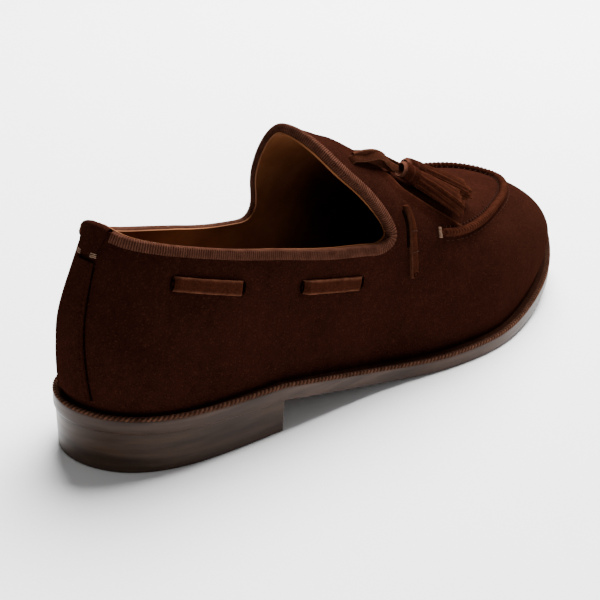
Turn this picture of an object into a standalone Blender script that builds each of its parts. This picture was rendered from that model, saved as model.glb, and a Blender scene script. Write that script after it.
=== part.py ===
"""Tassel loafer for the right foot, in metres, +Z up, toe towards +X, inner side towards +Y.

Everything is built on the shape of the last. One measure, turn, runs round the sole's edge from
the heel's back (0) along the outer side to the toe (1) and home along the inner side (2). Another,
climb, runs up the upper from the feather line beside the welt (0) to the ridge of the instep (1).
"""
import bpy
import bmesh
import numpy as np
from math import cos, pi, sin
from mathutils import Vector
from mathutils.bvhtree import BVHTree
from mathutils.interpolate import poly_3d_calc

# Main sizes of the last and sole
LENGTH = 0.300
BALL_WIDTH = 0.104
INSTEP_HEIGHT = 0.110
HEEL_HEIGHT = 0.0171
BREAST_HEIGHT = 0.0140
BREAST_PLACE = 0.0745
TREAD_BACK = 0.1686
TREAD_FRONT = 0.1966
TOE_SPRING = 0.0135

# How full the arch starts behind the breast, and how late the toe spring lifts
ARCH_FULLNESS = 0.79
SPRING_POWER = 1.8

# Thicknesses
OUTSOLE = 0.0043
WELT = 0.0022
INSOLE = 0.0030
WALL = 0.0020
STAY = 0.0010
LACE = 0.0017
BINDING = 0.0006
TAB = 0.0010

# Widths and lengths of the smaller pieces
WELT_WIDTH = 0.0048
SOLE_BEVEL = 0.0006
HEEL_TAPER = 0.0012
STAY_TOP_HALF = 0.0050
STAY_FOOT_HALF = 0.0100
TAB_HALF = 0.0065
TAB_LEAF = 0.0110
BINDING_LEAF = 0.0030
LACE_HALF = 0.0027
RISER_HALF = 0.0020
SEAM_HALF = 0.0019
SEAM_HEIGHT = 0.0024
CORD = 0.0040
TASSEL_LENGTH = 0.034
TASSEL_HALF = 0.0074
FRINGE_STEP = 0.0028

# Running clearance between neighbouring pieces, what curved pieces add to it, the clearance of
# a fold round the rim, and how high a tassel lies over the upper
GAP = 0.0003
CURVE_GAP = 0.0001
FOLD_GAP = 0.0005
TASSEL_LIFT = 0.0008

# Sole outline: along is a share of LENGTH, half widths are shares of BALL_WIDTH
OUTLINE = (
    # along, outer, inner
    (0.030, 0.215, 0.195),
    (0.100, 0.328, 0.288),
    (0.200, 0.368, 0.307),
    (0.330, 0.388, 0.262),
    (0.450, 0.410, 0.278),
    (0.560, 0.465, 0.370),
    (0.670, 0.478, 0.472),
    (0.780, 0.405, 0.478),
    (0.880, 0.285, 0.402),
    (0.960, 0.130, 0.266),
)
TIP_SIDE = 0.035

# Welt that shows beside the upper, as a share of WELT_WIDTH
WELT_SHOWN = (
    # turn, width
    (0.00, 0.67),
    (0.20, 0.67),
    (0.32, 0.88),
    (0.42, 1.33),
    (0.50, 1.38),
    (0.62, 1.08),
    (0.80, 1.00),
    (1.00, 0.96),
)

# Ridge of the last: height as a share of INSTEP_HEIGHT, side as a share of BALL_WIDTH
RIDGE = (
    # along, height, side
    (0.000, 1.118, 0.000),
    (0.150, 1.105, 0.000),
    (0.283, 1.059, 0.004),
    (0.367, 0.986, 0.010),
    (0.450, 0.895, 0.018),
    (0.533, 0.768, 0.029),
    (0.633, 0.662, 0.038),
    (0.733, 0.577, 0.048),
    (0.833, 0.527, 0.060),
    (0.917, 0.432, 0.070),
    (1.000, 0.332, 0.072),
)
# The ridge ends short of the sole at the toe and starts inside it at the heel
TOE_RIDGE_BEND = 0.717
HEEL_RIDGE_BEND = 0.200

# Sections: reach out from ridge to feather line, height from feather line to ridge
SECTIONS = (
    # turn, low_out, low_up, mid_out, mid_up, shoulder_out, shoulder_up, crown_out, inner_more
    (0.00, 1.05, 0.13, 1.06, 0.34, 0.64, 0.58, 0.13, 0.00),
    (0.12, 1.07, 0.13, 1.06, 0.31, 0.69, 0.52, 0.26, 0.00),
    (0.24, 1.04, 0.13, 1.03, 0.34, 0.77, 0.58, 0.38, 0.04),
    (0.36, 1.04, 0.13, 1.08, 0.39, 0.92, 0.70, 0.41, 0.09),
    (0.46, 1.03, 0.14, 1.11, 0.45, 1.00, 0.82, 0.37, 0.12),
    (0.58, 1.03, 0.18, 1.04, 0.48, 0.82, 0.88, 0.40, 0.09),
    (0.70, 1.07, 0.22, 1.06, 0.54, 0.78, 0.89, 0.40, 0.03),
    (0.85, 1.11, 0.26, 1.08, 0.58, 0.77, 0.89, 0.42, 0.00),
    (1.00, 1.05, 0.26, 1.00, 0.59, 0.80, 0.92, 0.44, 0.00),
)
SECTION_KNOTS = (0, 0, 0, 0, 1 / 3, 2 / 3, 1, 1, 1, 1)

# Collar and throat edge, from the heel's back to the top of the throat
OUTER_COLLAR = (
    # along, climb
    (0.000, 0.685),
    (0.030, 0.693),
    (0.083, 0.669),
    (0.139, 0.622),
    (0.208, 0.556),
    (0.283, 0.499),
    (0.351, 0.469),
    (0.405, 0.461),
    (0.433, 0.474),
    (0.443, 0.502),
    (0.442, 0.545),
    (0.431, 0.614),
    (0.415, 0.687),
    (0.394, 0.762),
    (0.381, 0.845),
    (0.373, 0.915),
    (0.368, 1.000),
)
INNER_COLLAR = (
    (0.000, 0.685),
    (0.030, 0.684),
    (0.065, 0.650),
    (0.109, 0.602),
    (0.156, 0.540),
    (0.203, 0.485),
    (0.250, 0.442),
    (0.300, 0.420),
    (0.345, 0.420),
    (0.368, 0.436),
    (0.377, 0.475),
    (0.378, 0.520),
    (0.373, 0.592),
    (0.370, 0.651),
    (0.369, 0.717),
    (0.369, 0.800),
    (0.369, 0.900),
    (0.368, 1.000),
)

# Raised seam round the apron: shares of LENGTH, BALL_WIDTH and INSTEP_HEIGHT
APRON_SEAM = (
    # along, across, up
    (0.549, -0.367, 0.554),
    (0.585, -0.367, 0.533),
    (0.642, -0.344, 0.522),
    (0.681, -0.311, 0.521),
    (0.724, -0.260, 0.519),
    (0.760, -0.214, 0.519),
    (0.795, -0.155, 0.523),
    (0.825, -0.078, 0.523),
    (0.840, 0.010, 0.521),
    (0.836, 0.090, 0.523),
    (0.820, 0.168, 0.528),
    (0.795, 0.228, 0.532),
    (0.755, 0.282, 0.535),
    (0.690, 0.318, 0.560),
    (0.630, 0.322, 0.580),
    (0.570, 0.315, 0.600),
)

# Runs of the side lace between its slots, the same on both sides
LACE_RUNS = (
    # name, back along, back up, front along, front up
    ("rear", 0.101, 0.650, 0.192, 0.586),
    ("front", 0.284, 0.527, 0.393, 0.464),
)
RISER = (
    # along, up
    (0.489, 0.692),
    (0.490, 0.661),
    (0.490, 0.624),
    (0.487, 0.575),
    (0.486, 0.513),
    (0.487, 0.445),
    (0.488, 0.415),
)

# Half width of the riser as a share of RISER_HALF: ways from its top, then the shares there
RISER_TAPER = ((0, 0.125, 0.25, 0.375, 0.75, 0.875, 1), (0.45, 0.7, 0.9, 1, 1, 0.9, 0.8))

# Knot of the lace: along and across in shares, then its half sizes in shares of CORD
KNOT_PLACE = (0.508, -0.095)
KNOT_SHARES = (1.25, 0.85, 0.58)

# The two free ends of the lace, from the front edge of a quarter towards their tassels
LACE_ENDS = {
    # along, across, height over the upper as a share of CORD
    "outer": (
        (0.438, -0.206, 0.60),
        (0.452, -0.199, 0.80),
        (0.472, -0.186, 1.35),
        (0.490, -0.172, 1.50),
    ),
    "inner": (
        (0.505, 0.215, 0.70),
        (0.518, 0.130, 0.74),
        (0.527, 0.040, 0.85),
        (0.534, -0.040, 1.05),
    ),
}

TASSELS = (
    # name, cap along, cap across, end along, end across
    ("outer", 0.523, -0.190, 0.590, -0.318),
    ("inner", 0.557, -0.118, 0.650, -0.245),
)
# Half width and half height are shares of TASSEL_HALF, furrow is a share of both
TASSEL_PROFILE = (
    # share of the length, half width, half height, furrow
    (0.00, 0.50, 0.36, 0.00),
    (0.03, 0.66, 0.48, 0.00),
    (0.09, 0.70, 0.50, 0.00),
    (0.24, 0.70, 0.50, 0.00),
    (0.28, 0.62, 0.45, 0.04),
    (0.33, 0.68, 0.46, 0.10),
    (0.47, 0.78, 0.46, 0.20),
    (0.64, 0.86, 0.44, 0.24),
    (0.82, 0.92, 0.42, 0.26),
    (0.96, 0.96, 0.40, 0.28),
)
FRINGE_STRIPS = 8

# Counts of faces: columns on each stretch of the rim, along the ridge, and rows up the wall
RIM_SPANS = (
    # rim share reached, columns on the way
    (0.036, 2),
    (0.620, 13),
    (0.850, 8),
    (1.000, 6),
)
RIDGE_COLUMNS = 13
WALL_ROWS = 11
FAN_START = 14
FAN_FOOT_END = 0.61
# How late a column turns from its foot towards its top: columns, then the bends there
FAN_BENDS = ((16.5, 18, 20, 24, 34), (3.0, 5.0, 4.0, 3.0, 1.5))
GUIDE_FINENESS = 4
SEAM_STATIONS = 38
STAY_STATIONS = 9
LACE_STATIONS = 9
CORD_STATIONS = 16
TASSEL_STATIONS = 4 * FRINGE_STRIPS

# Small step of turn for taking directions, and the share of a column just below the rim
SMALL_TURN = 1e-4
BELOW_RIM = 0.94


def natural_spline(keys, values, at):
    """Cubic curve through the values, straight at both ends."""
    keys = np.asarray(keys, float)
    values = np.asarray(values, float)
    step = np.diff(keys)
    slope = np.diff(values) / step
    matrix = np.eye(len(keys))
    right = np.zeros(len(keys))
    for i in range(1, len(keys) - 1):
        matrix[i, i - 1:i + 2] = step[i - 1], 2 * (step[i - 1] + step[i]), step[i]
        right[i] = 6 * (slope[i] - slope[i - 1])
    bend = np.linalg.solve(matrix, right)
    at = np.clip(np.asarray(at, float), keys[0], keys[-1])
    i = np.clip(np.searchsorted(keys, at, side="right") - 1, 0, len(step) - 1)
    return spline_piece(step[i], values[i], values[i + 1], bend[i], bend[i + 1], at - keys[i])


def periodic_spline(keys, values, period, at):
    """Cubic curve through the values that closes on itself after one period."""
    keys = np.asarray(keys, float)
    values = np.asarray(values, float)
    count = len(keys)
    step = np.diff(np.append(keys, keys[0] + period))
    slope = (np.roll(values, -1) - values) / step
    matrix = np.zeros((count, count))
    for i in range(count):
        matrix[i, i - 1] += step[i - 1]
        matrix[i, i] += 2 * (step[i - 1] + step[i])
        matrix[i, (i + 1) % count] += step[i]
    bend = np.linalg.solve(matrix, 6 * (slope - np.roll(slope, 1)))
    at = np.mod(np.asarray(at, float) - keys[0], period) + keys[0]
    i = np.searchsorted(keys, at, side="right") - 1
    j = (i + 1) % count
    return spline_piece(step[i], values[i], values[j], bend[i], bend[j], at - keys[i])


def spline_piece(step, start, end, start_bend, end_bend, way):
    """One cubic stretch of a spline."""
    rest = step - way
    curve = (start_bend * rest ** 3 + end_bend * way ** 3) / (6 * step)
    return (curve + (start / step - start_bend * step / 6) * rest
            + (end / step - end_bend * step / 6) * way)


def turn_at(along):
    """Turn on the outer side at a share of the length."""
    return np.arccos(1 - 2 * np.clip(along, 0, 1)) / pi


def along_at(turn):
    return (1 - np.cos(pi * np.asarray(turn, float))) / 2


def folded(turn):
    """Turn measured back to the outer side, for what both sides share."""
    turn = np.mod(np.asarray(turn, float), 2)
    return np.where(turn > 1, 2 - turn, turn)


def outline(turn):
    """Edge of the outsole seen from above."""
    rows = OUTLINE
    keys = [0.0] + [turn_at(row[0]) for row in rows] + [1.0]
    keys += [2 - turn_at(row[0]) for row in reversed(rows)]
    sides = [0.0] + [-row[1] for row in rows] + [TIP_SIDE] + [row[2] for row in reversed(rows)]
    across = periodic_spline(keys, sides, 2.0, turn)
    return np.stack([LENGTH * along_at(turn), BALL_WIDTH * across], -1)


def inset_outline(turn, inset):
    """The outline drawn in by a distance square to itself."""
    turn = np.asarray(turn, float)
    way = outline(turn + SMALL_TURN) - outline(turn - SMALL_TURN)
    way = way / np.linalg.norm(way, axis=-1, keepdims=True)
    inward = np.stack([-way[..., 1], way[..., 0]], -1)
    return outline(turn) + inward * np.asarray(inset, float)[..., None]


def welt_shown(turn):
    keys, widths = zip(*WELT_SHOWN)
    return WELT_WIDTH * np.interp(folded(turn), keys, widths)


def sole_height(x):
    """Underside of the outsole above the floor: seat, waist, tread and toe spring."""
    x = np.asarray(x, float)
    seat = HEEL_HEIGHT + (BREAST_HEIGHT - HEEL_HEIGHT) * x / BREAST_PLACE
    u = np.clip((x - BREAST_PLACE) / (TREAD_BACK - BREAST_PLACE), 0, 1)
    waist = BREAST_HEIGHT * (1 - u) ** 2 * (1 + ARCH_FULLNESS * u)
    v = np.clip((x - TREAD_FRONT) / (LENGTH - TREAD_FRONT), 0, 1)
    return np.where(x < BREAST_PLACE, seat, waist) + TOE_SPRING * v ** SPRING_POWER


def bed_height(x):
    """Top of the outsole, with the clearance that the pieces on it keep."""
    return sole_height(x) + OUTSOLE + GAP + CURVE_GAP


def feather_height(x):
    return bed_height(x) + WELT + GAP


def ridge_place(along):
    """Where the ridge of the last lies for a station on the outline."""
    toe = np.maximum(along - TOE_RIDGE_BEND, 0)
    heel = np.maximum(HEEL_RIDGE_BEND - along, 0)
    return along - toe ** 2 / (2 * (1 - TOE_RIDGE_BEND)) + heel ** 2 / (2 * HEEL_RIDGE_BEND)


def outline_place(ridge_along):
    """Station on the outline for a place on the ridge, forward of the heel."""
    reach = 1 - TOE_RIDGE_BEND
    past = np.clip((ridge_along - TOE_RIDGE_BEND) / reach, 0, 0.5)
    bent = TOE_RIDGE_BEND + reach * (1 - np.sqrt(1 - 2 * past))
    return np.where(ridge_along > TOE_RIDGE_BEND, bent, ridge_along)


def ridge_table(column, x):
    return natural_spline([row[0] for row in RIDGE], [row[column] for row in RIDGE], x / LENGTH)


def crown_height(x):
    return INSTEP_HEIGHT * ridge_table(1, x)


def section(turn):
    """Columns of the section table at a turn, mirrored past heel and toe to stay smooth there."""
    turn = np.asarray(turn, float)
    rows = [(-row[0],) + row[1:] for row in SECTIONS[3:0:-1]] + list(SECTIONS)
    rows += [(2 - row[0],) + row[1:] for row in SECTIONS[-2:-5:-1]]
    keys = [row[0] for row in rows]
    at = folded(turn)
    columns = [natural_spline(keys, [row[i] for row in rows], at) for i in range(1, 9)]
    columns[7] = np.where(np.mod(turn, 2) > 1, columns[7], 0.0)
    return columns


def section_weights(climb):
    """Weights of the six control values of a section at a climb."""
    climb = np.clip(np.asarray(climb, float), 0, 1 - 1e-9)
    knots = SECTION_KNOTS
    weights = [((climb >= knots[i]) & (climb < knots[i + 1])) * 1.0 for i in range(9)]
    for degree in (1, 2, 3):
        raised = []
        for i in range(9 - degree):
            rise = knots[i + degree] - knots[i]
            fall = knots[i + degree + 1] - knots[i + 1]
            up = (climb - knots[i]) / rise if rise else 0 * climb
            down = (knots[i + degree + 1] - climb) / fall if fall else 0 * climb
            raised.append(up * weights[i] + down * weights[i + 1])
        weights = raised
    return weights


def upper_point(turn, climb):
    """Outer face of the upper."""
    turn, climb = np.broadcast_arrays(np.asarray(turn, float), np.asarray(climb, float))
    feather = inset_outline(turn, welt_shown(turn))
    ridge_x = LENGTH * ridge_place(along_at(turn))
    ridge_y = BALL_WIDTH * ridge_table(2, ridge_x)
    low_out, low_up, mid_out, mid_up, shoulder_out, shoulder_up, crown_out, more = section(turn)
    weight = section_weights(climb)
    reach = (weight[0] + weight[1] * (low_out + 0.4 * more) + weight[2] * (mid_out + more)
             + weight[3] * (shoulder_out + more) + weight[4] * (crown_out + 0.5 * more))
    rise = (weight[1] * low_up + weight[2] * mid_up + weight[3] * shoulder_up
            + weight[4] + weight[5])
    x = ridge_x + (feather[..., 0] - ridge_x) * reach
    y = ridge_y + (feather[..., 1] - ridge_y) * reach
    foot = feather_height(feather[..., 0])
    return np.stack([x, y, foot + (crown_height(x) - foot) * rise], -1)


def collar(share, inner):
    """Turn and climb of the collar's edge at a share of its way from heel to throat."""
    along, climb = np.array(INNER_COLLAR if inner else OUTER_COLLAR).T
    turn = 2 - turn_at(along) if inner else turn_at(along)
    turn[0] = 0
    steps = np.linalg.norm(np.diff(upper_point(turn, climb), axis=0), axis=1)
    way = np.append(0, np.cumsum(steps))
    share = np.asarray(share, float) * way[-1]
    turn = natural_spline(way, turn_at(along), share)
    return (2 - turn if inner else turn), natural_spline(way, climb, share)


def rim_shares(fineness):
    shares = [0.0]
    for reached, count in RIM_SPANS:
        shares += list(np.linspace(shares[-1], reached, count * fineness + 1)[1:])
    return np.array(shares)


def column_plan(inner, fineness):
    """Foot turn, top turn, top climb and bend of each column of the upper, from heel to toe.

    The feet stand opposite each other on the two sides. The last value is the throat's column.
    """
    shares = rim_shares(fineness)
    rim_turn, rim_climb = collar(shares, inner)
    rim_turn = folded(rim_turn)
    start = FAN_START * fineness
    seat_turn = collar(shares, False)[0]
    ridge_start = LENGTH * ridge_place(along_at(rim_turn[-1]))
    ridge_x = np.linspace(ridge_start, LENGTH * ridge_place(1.0), RIDGE_COLUMNS * fineness + 1)[1:]
    ridge_turn = turn_at(outline_place(ridge_x / LENGTH))
    fan = np.linspace(seat_turn[start], FAN_FOOT_END, len(shares) - start)
    front = np.linspace(FAN_FOOT_END, 1, len(ridge_x) + 1)[1:]
    foot = np.concatenate([seat_turn[:start], fan, front])
    breast = turn_at(BREAST_PLACE / LENGTH)
    foot[np.argmin(abs(foot - breast))] = breast
    top = np.concatenate([rim_turn, ridge_turn])
    climb = np.concatenate([rim_climb, np.ones(len(ridge_x))])
    bend = np.interp(np.arange(len(top)) / fineness, *FAN_BENDS)
    return foot, top, climb, bend, len(shares) - 1


def foot_turns():
    """Turns of the columns all the way round, which every ring of the sole shares."""
    outer = column_plan(False, 1)[0]
    inner = column_plan(True, 1)[0]
    return np.concatenate([outer, 2 - inner[-2:0:-1]])


def column_point(foot, top, top_climb, bend, share, inner):
    """Point of the upper at a share of the way up one column."""
    turn = foot + (top - foot) * share ** bend
    return upper_point(2 - turn if inner else turn, top_climb * share)


def outer_skin(fineness, rows):
    """Vertices, faces and index grid of the upper's outer face, with its upright foot."""
    plans = column_plan(False, fineness), column_plan(True, fineness)
    half = len(plans[0][0]) - 1
    throat = plans[0][-1]
    vertices = []
    grid = []
    for k in range(2 * half):
        inner = k > half
        i = 2 * half - k if inner else k
        column = [values[i] for values in plans[inner][:-1]]
        points = column_point(*column, np.linspace(0, 1, rows + 1), inner)
        base = points[0].copy()
        base[2] = bed_height(base[0])
        points = np.vstack([base, points])
        shared = inner and i >= throat
        if shared:
            points = points[:-1]
        first = len(vertices)
        vertices += list(points)
        column = list(range(first, first + len(points)))
        if shared:
            column.append(grid[i][-1])
        grid.append(column)
    faces = []
    for k in range(2 * half):
        here, there = grid[k], grid[(k + 1) % (2 * half)]
        for j in range(rows + 1):
            faces.append((here[j], there[j], there[j + 1], here[j + 1]))
    return np.array(vertices), faces, grid, throat


def vertex_normals(vertices, faces):
    normals = np.zeros_like(vertices)
    quads = np.array(faces)
    a, b, c, d = (vertices[quads[:, i]] for i in range(4))
    area = np.cross(c - a, d - b)
    for i in range(4):
        np.add.at(normals, quads[:, i], area)
    return normals / np.linalg.norm(normals, axis=1, keepdims=True)


def rim_loop(grid, throat):
    """Columns that end on the collar, from the throat's inner side round the heel to the outer."""
    count = len(grid)
    return [k % count for k in range(count - throat, count + throat + 1)]


def make_material(name, colour, roughness):
    material = bpy.data.materials.new(name)
    material.use_nodes = True
    shader = material.node_tree.nodes["Principled BSDF"]
    shader.inputs["Base Color"].default_value = (*colour, 1)
    shader.inputs["Roughness"].default_value = roughness
    return material


def make_object(name, vertices, faces, material, sharp=40):
    """A closed mesh object under the shoe's empty, with its faces pointing out."""
    mesh = bpy.data.meshes.new(name)
    mesh.from_pydata([tuple(float(value) for value in point) for point in vertices], [], faces)
    solid = bmesh.new()
    solid.from_mesh(mesh)
    bmesh.ops.recalc_face_normals(solid, faces=solid.faces)
    solid.to_mesh(mesh)
    solid.free()
    mesh.shade_smooth()
    mesh.set_sharp_from_angle(angle=sharp * pi / 180)
    mesh.materials.append(material)
    piece = bpy.data.objects.new(name, mesh)
    bpy.context.scene.collection.objects.link(piece)
    piece.parent = shoe
    return piece


def loft(rings, closed):
    """Vertices and faces of a solid through rings of equal count, capped unless closed."""
    size = len(rings[0])
    vertices = [point for ring in rings for point in ring]
    faces = []
    for i in range(len(rings) if closed else len(rings) - 1):
        for j in range(size):
            k = (j + 1) % size
            here, there = i * size, (i + 1) % len(rings) * size
            faces.append((here + j, here + k, there + k, there + j))
    if not closed:
        last = (len(rings) - 1) * size
        faces.append(tuple(range(size)))
        faces.append(tuple(range(last, last + size)))
    return vertices, faces


def plate_caps(count, first):
    """Faces straight across a ring of points. An odd ring ends in a straight edge."""
    half = count // 2
    faces = [(first, first + 1, first + count - 1)]
    for i in range(1, half if count % 2 else half - 1):
        faces.append((first + i, first + i + 1, first + count - i - 1, first + count - i))
    if count % 2 == 0:
        faces.append((first + half - 1, first + half, first + half + 1))
    return faces


def make_plate(name, rings, material):
    """A plate whose edge goes through rings of points, with its faces laid straight across."""
    count = len(rings[0])
    vertices, faces = loft(rings, False)
    faces = faces[:-2] + plate_caps(count, 0) + plate_caps(count, (len(rings) - 1) * count)
    return make_object(name, vertices, faces, material)


def ring_points(turns, inset, height):
    flat = inset_outline(turns, inset + 0 * turns)
    return np.column_stack([flat, height(flat[:, 0])])


def make_outsole():
    turns = foot_turns()
    rings = [
        ring_points(turns, SOLE_BEVEL, sole_height),
        ring_points(turns, 0, lambda x: sole_height(x) + SOLE_BEVEL),
        ring_points(turns, 0, lambda x: sole_height(x) + OUTSOLE),
    ]
    return make_plate("outsole", rings, sole_leather)


def make_welt():
    """A flat ring: its outer edge flush with the outsole, its inner edge against the upper."""
    turns = foot_turns()
    outer = [ring_points(turns, 0, height) for height in (bed_height, lambda x: bed_height(x) + WELT)]
    shown = welt_shown(turns) - GAP
    inner = [ring_points(turns, shown, height) for height in (bed_height, lambda x: bed_height(x) + WELT)]
    rings = [[outer[0][i], outer[1][i], inner[1][i], inner[0][i]] for i in range(len(turns))]
    return make_object("welt", *loft(rings, True), welt_leather)


def make_insole():
    turns = foot_turns()
    inset = welt_shown(turns) + WALL + GAP
    rings = [ring_points(turns, inset, bed_height),
             ring_points(turns, inset, lambda x: bed_height(x) + INSOLE)]
    return make_plate("insole", rings, lining_leather)


def make_heel():
    """Heel block: the seat's outline, cut straight at the breast and drawn in a little downwards."""
    turns = foot_turns()
    breast = turn_at(BREAST_PLACE / LENGTH)
    outer = turns[turns < breast + 1e-6]
    turns = np.concatenate([outer, turns[turns > 2 - breast - 1e-6]])
    seat = LENGTH * along_at(breast)

    def level(inset, height):
        flat = inset_outline(turns, inset + 0 * turns)
        flat[:, 0] = np.minimum(flat[:, 0], seat)
        return np.column_stack([flat, height(flat[:, 0])])

    rings = [
        level(HEEL_TAPER + SOLE_BEVEL, lambda x: 0 * x),
        level(HEEL_TAPER, lambda x: 0 * x + SOLE_BEVEL),
        level(SOLE_BEVEL, lambda x: sole_height(x) - GAP),
    ]
    return make_plate("heel_stack", rings, heel_leather)


def make_upper():
    """Quarters, vamp and apron as one hollow wall."""
    vertices, faces, grid, throat = outer_skin(1, WALL_ROWS)
    inside = np.array([place - WALL * skin.nearest(place)[1] for place in vertices])
    turns = foot_turns()
    drawn_in = inset_outline(turns, welt_shown(turns) + WALL)
    for k, column in enumerate(grid):
        for row in (0, 1):
            inside[column[row], :2] = drawn_in[k]
            inside[column[row], 2] = vertices[column[row], 2]
    shift = len(vertices)
    solid = list(faces) + [tuple(index + shift for index in reversed(face)) for face in faces]
    for k, column in enumerate(grid):
        here, there = column[0], grid[(k + 1) % len(grid)][0]
        solid.append((there, here, here + shift, there + shift))
    loop = rim_loop(grid, throat)
    for first, second in zip(loop, loop[1:]):
        here, there = grid[first][-1], grid[second][-1]
        solid.append((here, there, there + shift, here + shift))
    return make_object("upper", np.vstack([vertices, inside]), solid, suede)


class Skin:
    """Fine copy of the upper's outer face, on which the pieces laid over it are placed."""

    def __init__(self):
        vertices, faces, grid, _ = outer_skin(GUIDE_FINENESS, WALL_ROWS * GUIDE_FINENESS)
        self.vertices = [Vector(point) for point in vertices]
        self.normals = vertex_normals(vertices, faces)
        self.steady_normals(grid)
        self.faces = faces
        self.tree = BVHTree.FromPolygons(self.vertices, faces)

    def steady_normals(self, grid):
        """Where cells are squeezed at the rim, a normal repeats the one below it."""
        for column in grid:
            for below, here in zip(column[1:], column[2:]):
                if np.dot(self.normals[below], self.normals[here]) < 0.5:
                    self.normals[here] = self.normals[below]

    def frame(self, hit):
        """Point and smooth outward normal at a hit on the skin."""
        place, _, index, _ = hit
        corners = self.faces[index]
        weights = poly_3d_calc([self.vertices[i] for i in corners], place)
        normal = sum(weight * self.normals[i] for weight, i in zip(weights, corners))
        return np.array(place), normal / np.linalg.norm(normal)

    def nearest(self, point):
        return self.frame(self.tree.find_nearest(Vector(point)))

    def from_side(self, along, up, inner):
        """Where a level line from beside the shoe meets the upper."""
        side = 1 if inner else -1
        start = Vector((along * LENGTH, side * BALL_WIDTH, up * INSTEP_HEIGHT))
        return self.frame(self.tree.ray_cast(start, Vector((0, -side, 0))))[0]


def smooth_path(points, count):
    """Evenly spaced points on a smooth curve through the given ones."""
    points = np.array(points, float)
    way = np.append(0, np.cumsum(np.linalg.norm(np.diff(points, axis=0), axis=1)))
    at = np.linspace(0, way[-1], count)
    return np.column_stack([natural_spline(way, points[:, i], at) for i in range(3)])


def tangents(path):
    way = np.gradient(path, axis=0)
    return way / np.linalg.norm(way, axis=1, keepdims=True)


def make_band(name, path, half, height, material, edge=0.5, columns=5, tips=0.4):
    """A strip laid on the upper along a path, domed across, low at its edges and its two tips."""
    places = [skin.nearest(point) for point in path]
    path = np.array([place for place, _ in places])
    half = np.broadcast_to(half, len(path))
    rings = []
    for i, way in enumerate(tangents(path)):
        place, normal = places[i]
        side = np.cross(normal, way)
        side /= np.linalg.norm(side)
        tip = tips if i in (0, len(path) - 1) else 1.0
        low = []
        high = []
        for across in np.linspace(-1, 1, columns):
            foot, up = skin.nearest(place + side * across * half[i])
            rise = height * tip * (edge + (1 - edge) * (1 - across ** 2))
            low.append(foot + up * (GAP + CURVE_GAP))
            high.append(foot + up * (GAP + CURVE_GAP + rise))
        rings.append(low + high[::-1])
    return make_object(name, *loft(rings, False), material)


def fold_profile(thick, leaf, steps):
    """Section of a ribbon folded over the rim: (out along the normal, down along the wall)."""
    slot = WALL / 2 + FOLD_GAP
    reach = slot + thick
    drops = list(np.linspace(leaf, 0, steps + 1)[:-1])
    crest = [(reach * cos(angle), -(GAP + thick) * sin(angle)) for angle in np.linspace(0, pi, 5)]
    profile = [(reach, drop) for drop in drops] + crest + [(-reach, drop) for drop in drops[::-1]]
    profile += [(-slot, drop) for drop in drops] + [(-slot, -GAP), (slot, -GAP)]
    profile += [(slot, drop) for drop in drops[::-1]]
    return [(out - WALL / 2, down) for out, down in profile]


def fold_ring(rim, below, along_rim, profile):
    """One section of a folded ribbon, square to the rim, its leaves following the wall down."""
    place, normal = skin.nearest(rim)
    across = np.cross(normal, along_rim)
    down = across / np.linalg.norm(across) * np.sign(np.dot(across, below - place))
    ring = []
    for out, drop in profile:
        if drop > 0:
            foot, up = skin.nearest(place + down * drop)
            ring.append(foot + up * out)
        else:
            ring.append(place + normal * out + down * drop)
    return ring


def heel_turn(across, climb):
    """Turn of a place a distance to the outer side of the heel's middle."""
    step = upper_point(SMALL_TURN, climb) - upper_point(-SMALL_TURN, climb)
    return across * 2 * SMALL_TURN / np.linalg.norm(step)


def heel_ring(across, profile):
    """Section of a folded piece a distance to the outer side of the heel's middle."""
    turn = heel_turn(across, OUTER_COLLAR[0][1])
    turns, climbs = collar(np.linspace(0, 0.2, 41), across < 0)
    climb = np.interp(abs(turn), folded(turns), climbs)
    along_rim = upper_point(turn + SMALL_TURN, climb) - upper_point(turn - SMALL_TURN, climb)
    below = upper_point(turn, climb * BELOW_RIM)
    return fold_ring(upper_point(turn, climb), below, along_rim, profile)


def make_binding():
    """Ribbon folded over the collar and throat, from one edge of the heel tab to the other."""
    clear = TAB_HALF + 1.5 * GAP
    profile = fold_profile(BINDING, BINDING_LEAF, 1)
    first = heel_turn(clear, OUTER_COLLAR[0][1]) * 1.3
    sides = []
    for inner in (False, True):
        *plan, throat = column_plan(inner, 1)
        rim = np.array([column_point(*column, 1, inner) for column in zip(*plan)])
        below = [column_point(*column, BELOW_RIM, inner) for column in zip(*plan)]
        beyond = rim[throat] * (1, -1, 1) + (rim[throat] - rim[throat - 1]) * (0, 1, 0)
        steps = np.diff(np.vstack([rim[:throat + 1], beyond]), axis=0)
        steps /= np.linalg.norm(steps, axis=1, keepdims=True)
        along_rim = np.vstack([steps[:1], steps[:-1] + steps[1:]])
        sides.append([fold_ring(rim[i], below[i], along_rim[i], profile)
                      for i in range(throat + 1) if plan[1][i] > first])
    rings = [heel_ring(clear, profile)] + sides[0] + sides[1][-2::-1] + [heel_ring(-clear, profile)]
    return make_object("collar_binding", *loft(rings, False), ribbon)


def make_tab():
    """Patch folded over the collar at the heel's back."""
    profile = fold_profile(TAB, TAB_LEAF, 3)
    rings = [heel_ring(across, profile) for across in np.linspace(-TAB_HALF, TAB_HALF, 7)]
    return make_object("heel_tab", *loft(rings, False), suede)


def make_stay():
    """Strip over the back seam, from the welt to just under the tab."""
    rim_climb = OUTER_COLLAR[0][1]
    column = upper_point(0, np.linspace(0.03, rim_climb, 60))
    top = column[-1]
    clear = np.linalg.norm(column - top, axis=1) > TAB_LEAF + 2 * GAP
    path = smooth_path(column[clear], STAY_STATIONS)
    half = np.linspace(STAY_FOOT_HALF, STAY_TOP_HALF, len(path))
    return make_band("back_stay", path, half, STAY, suede, edge=0.8, columns=7, tips=0.9)


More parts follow.
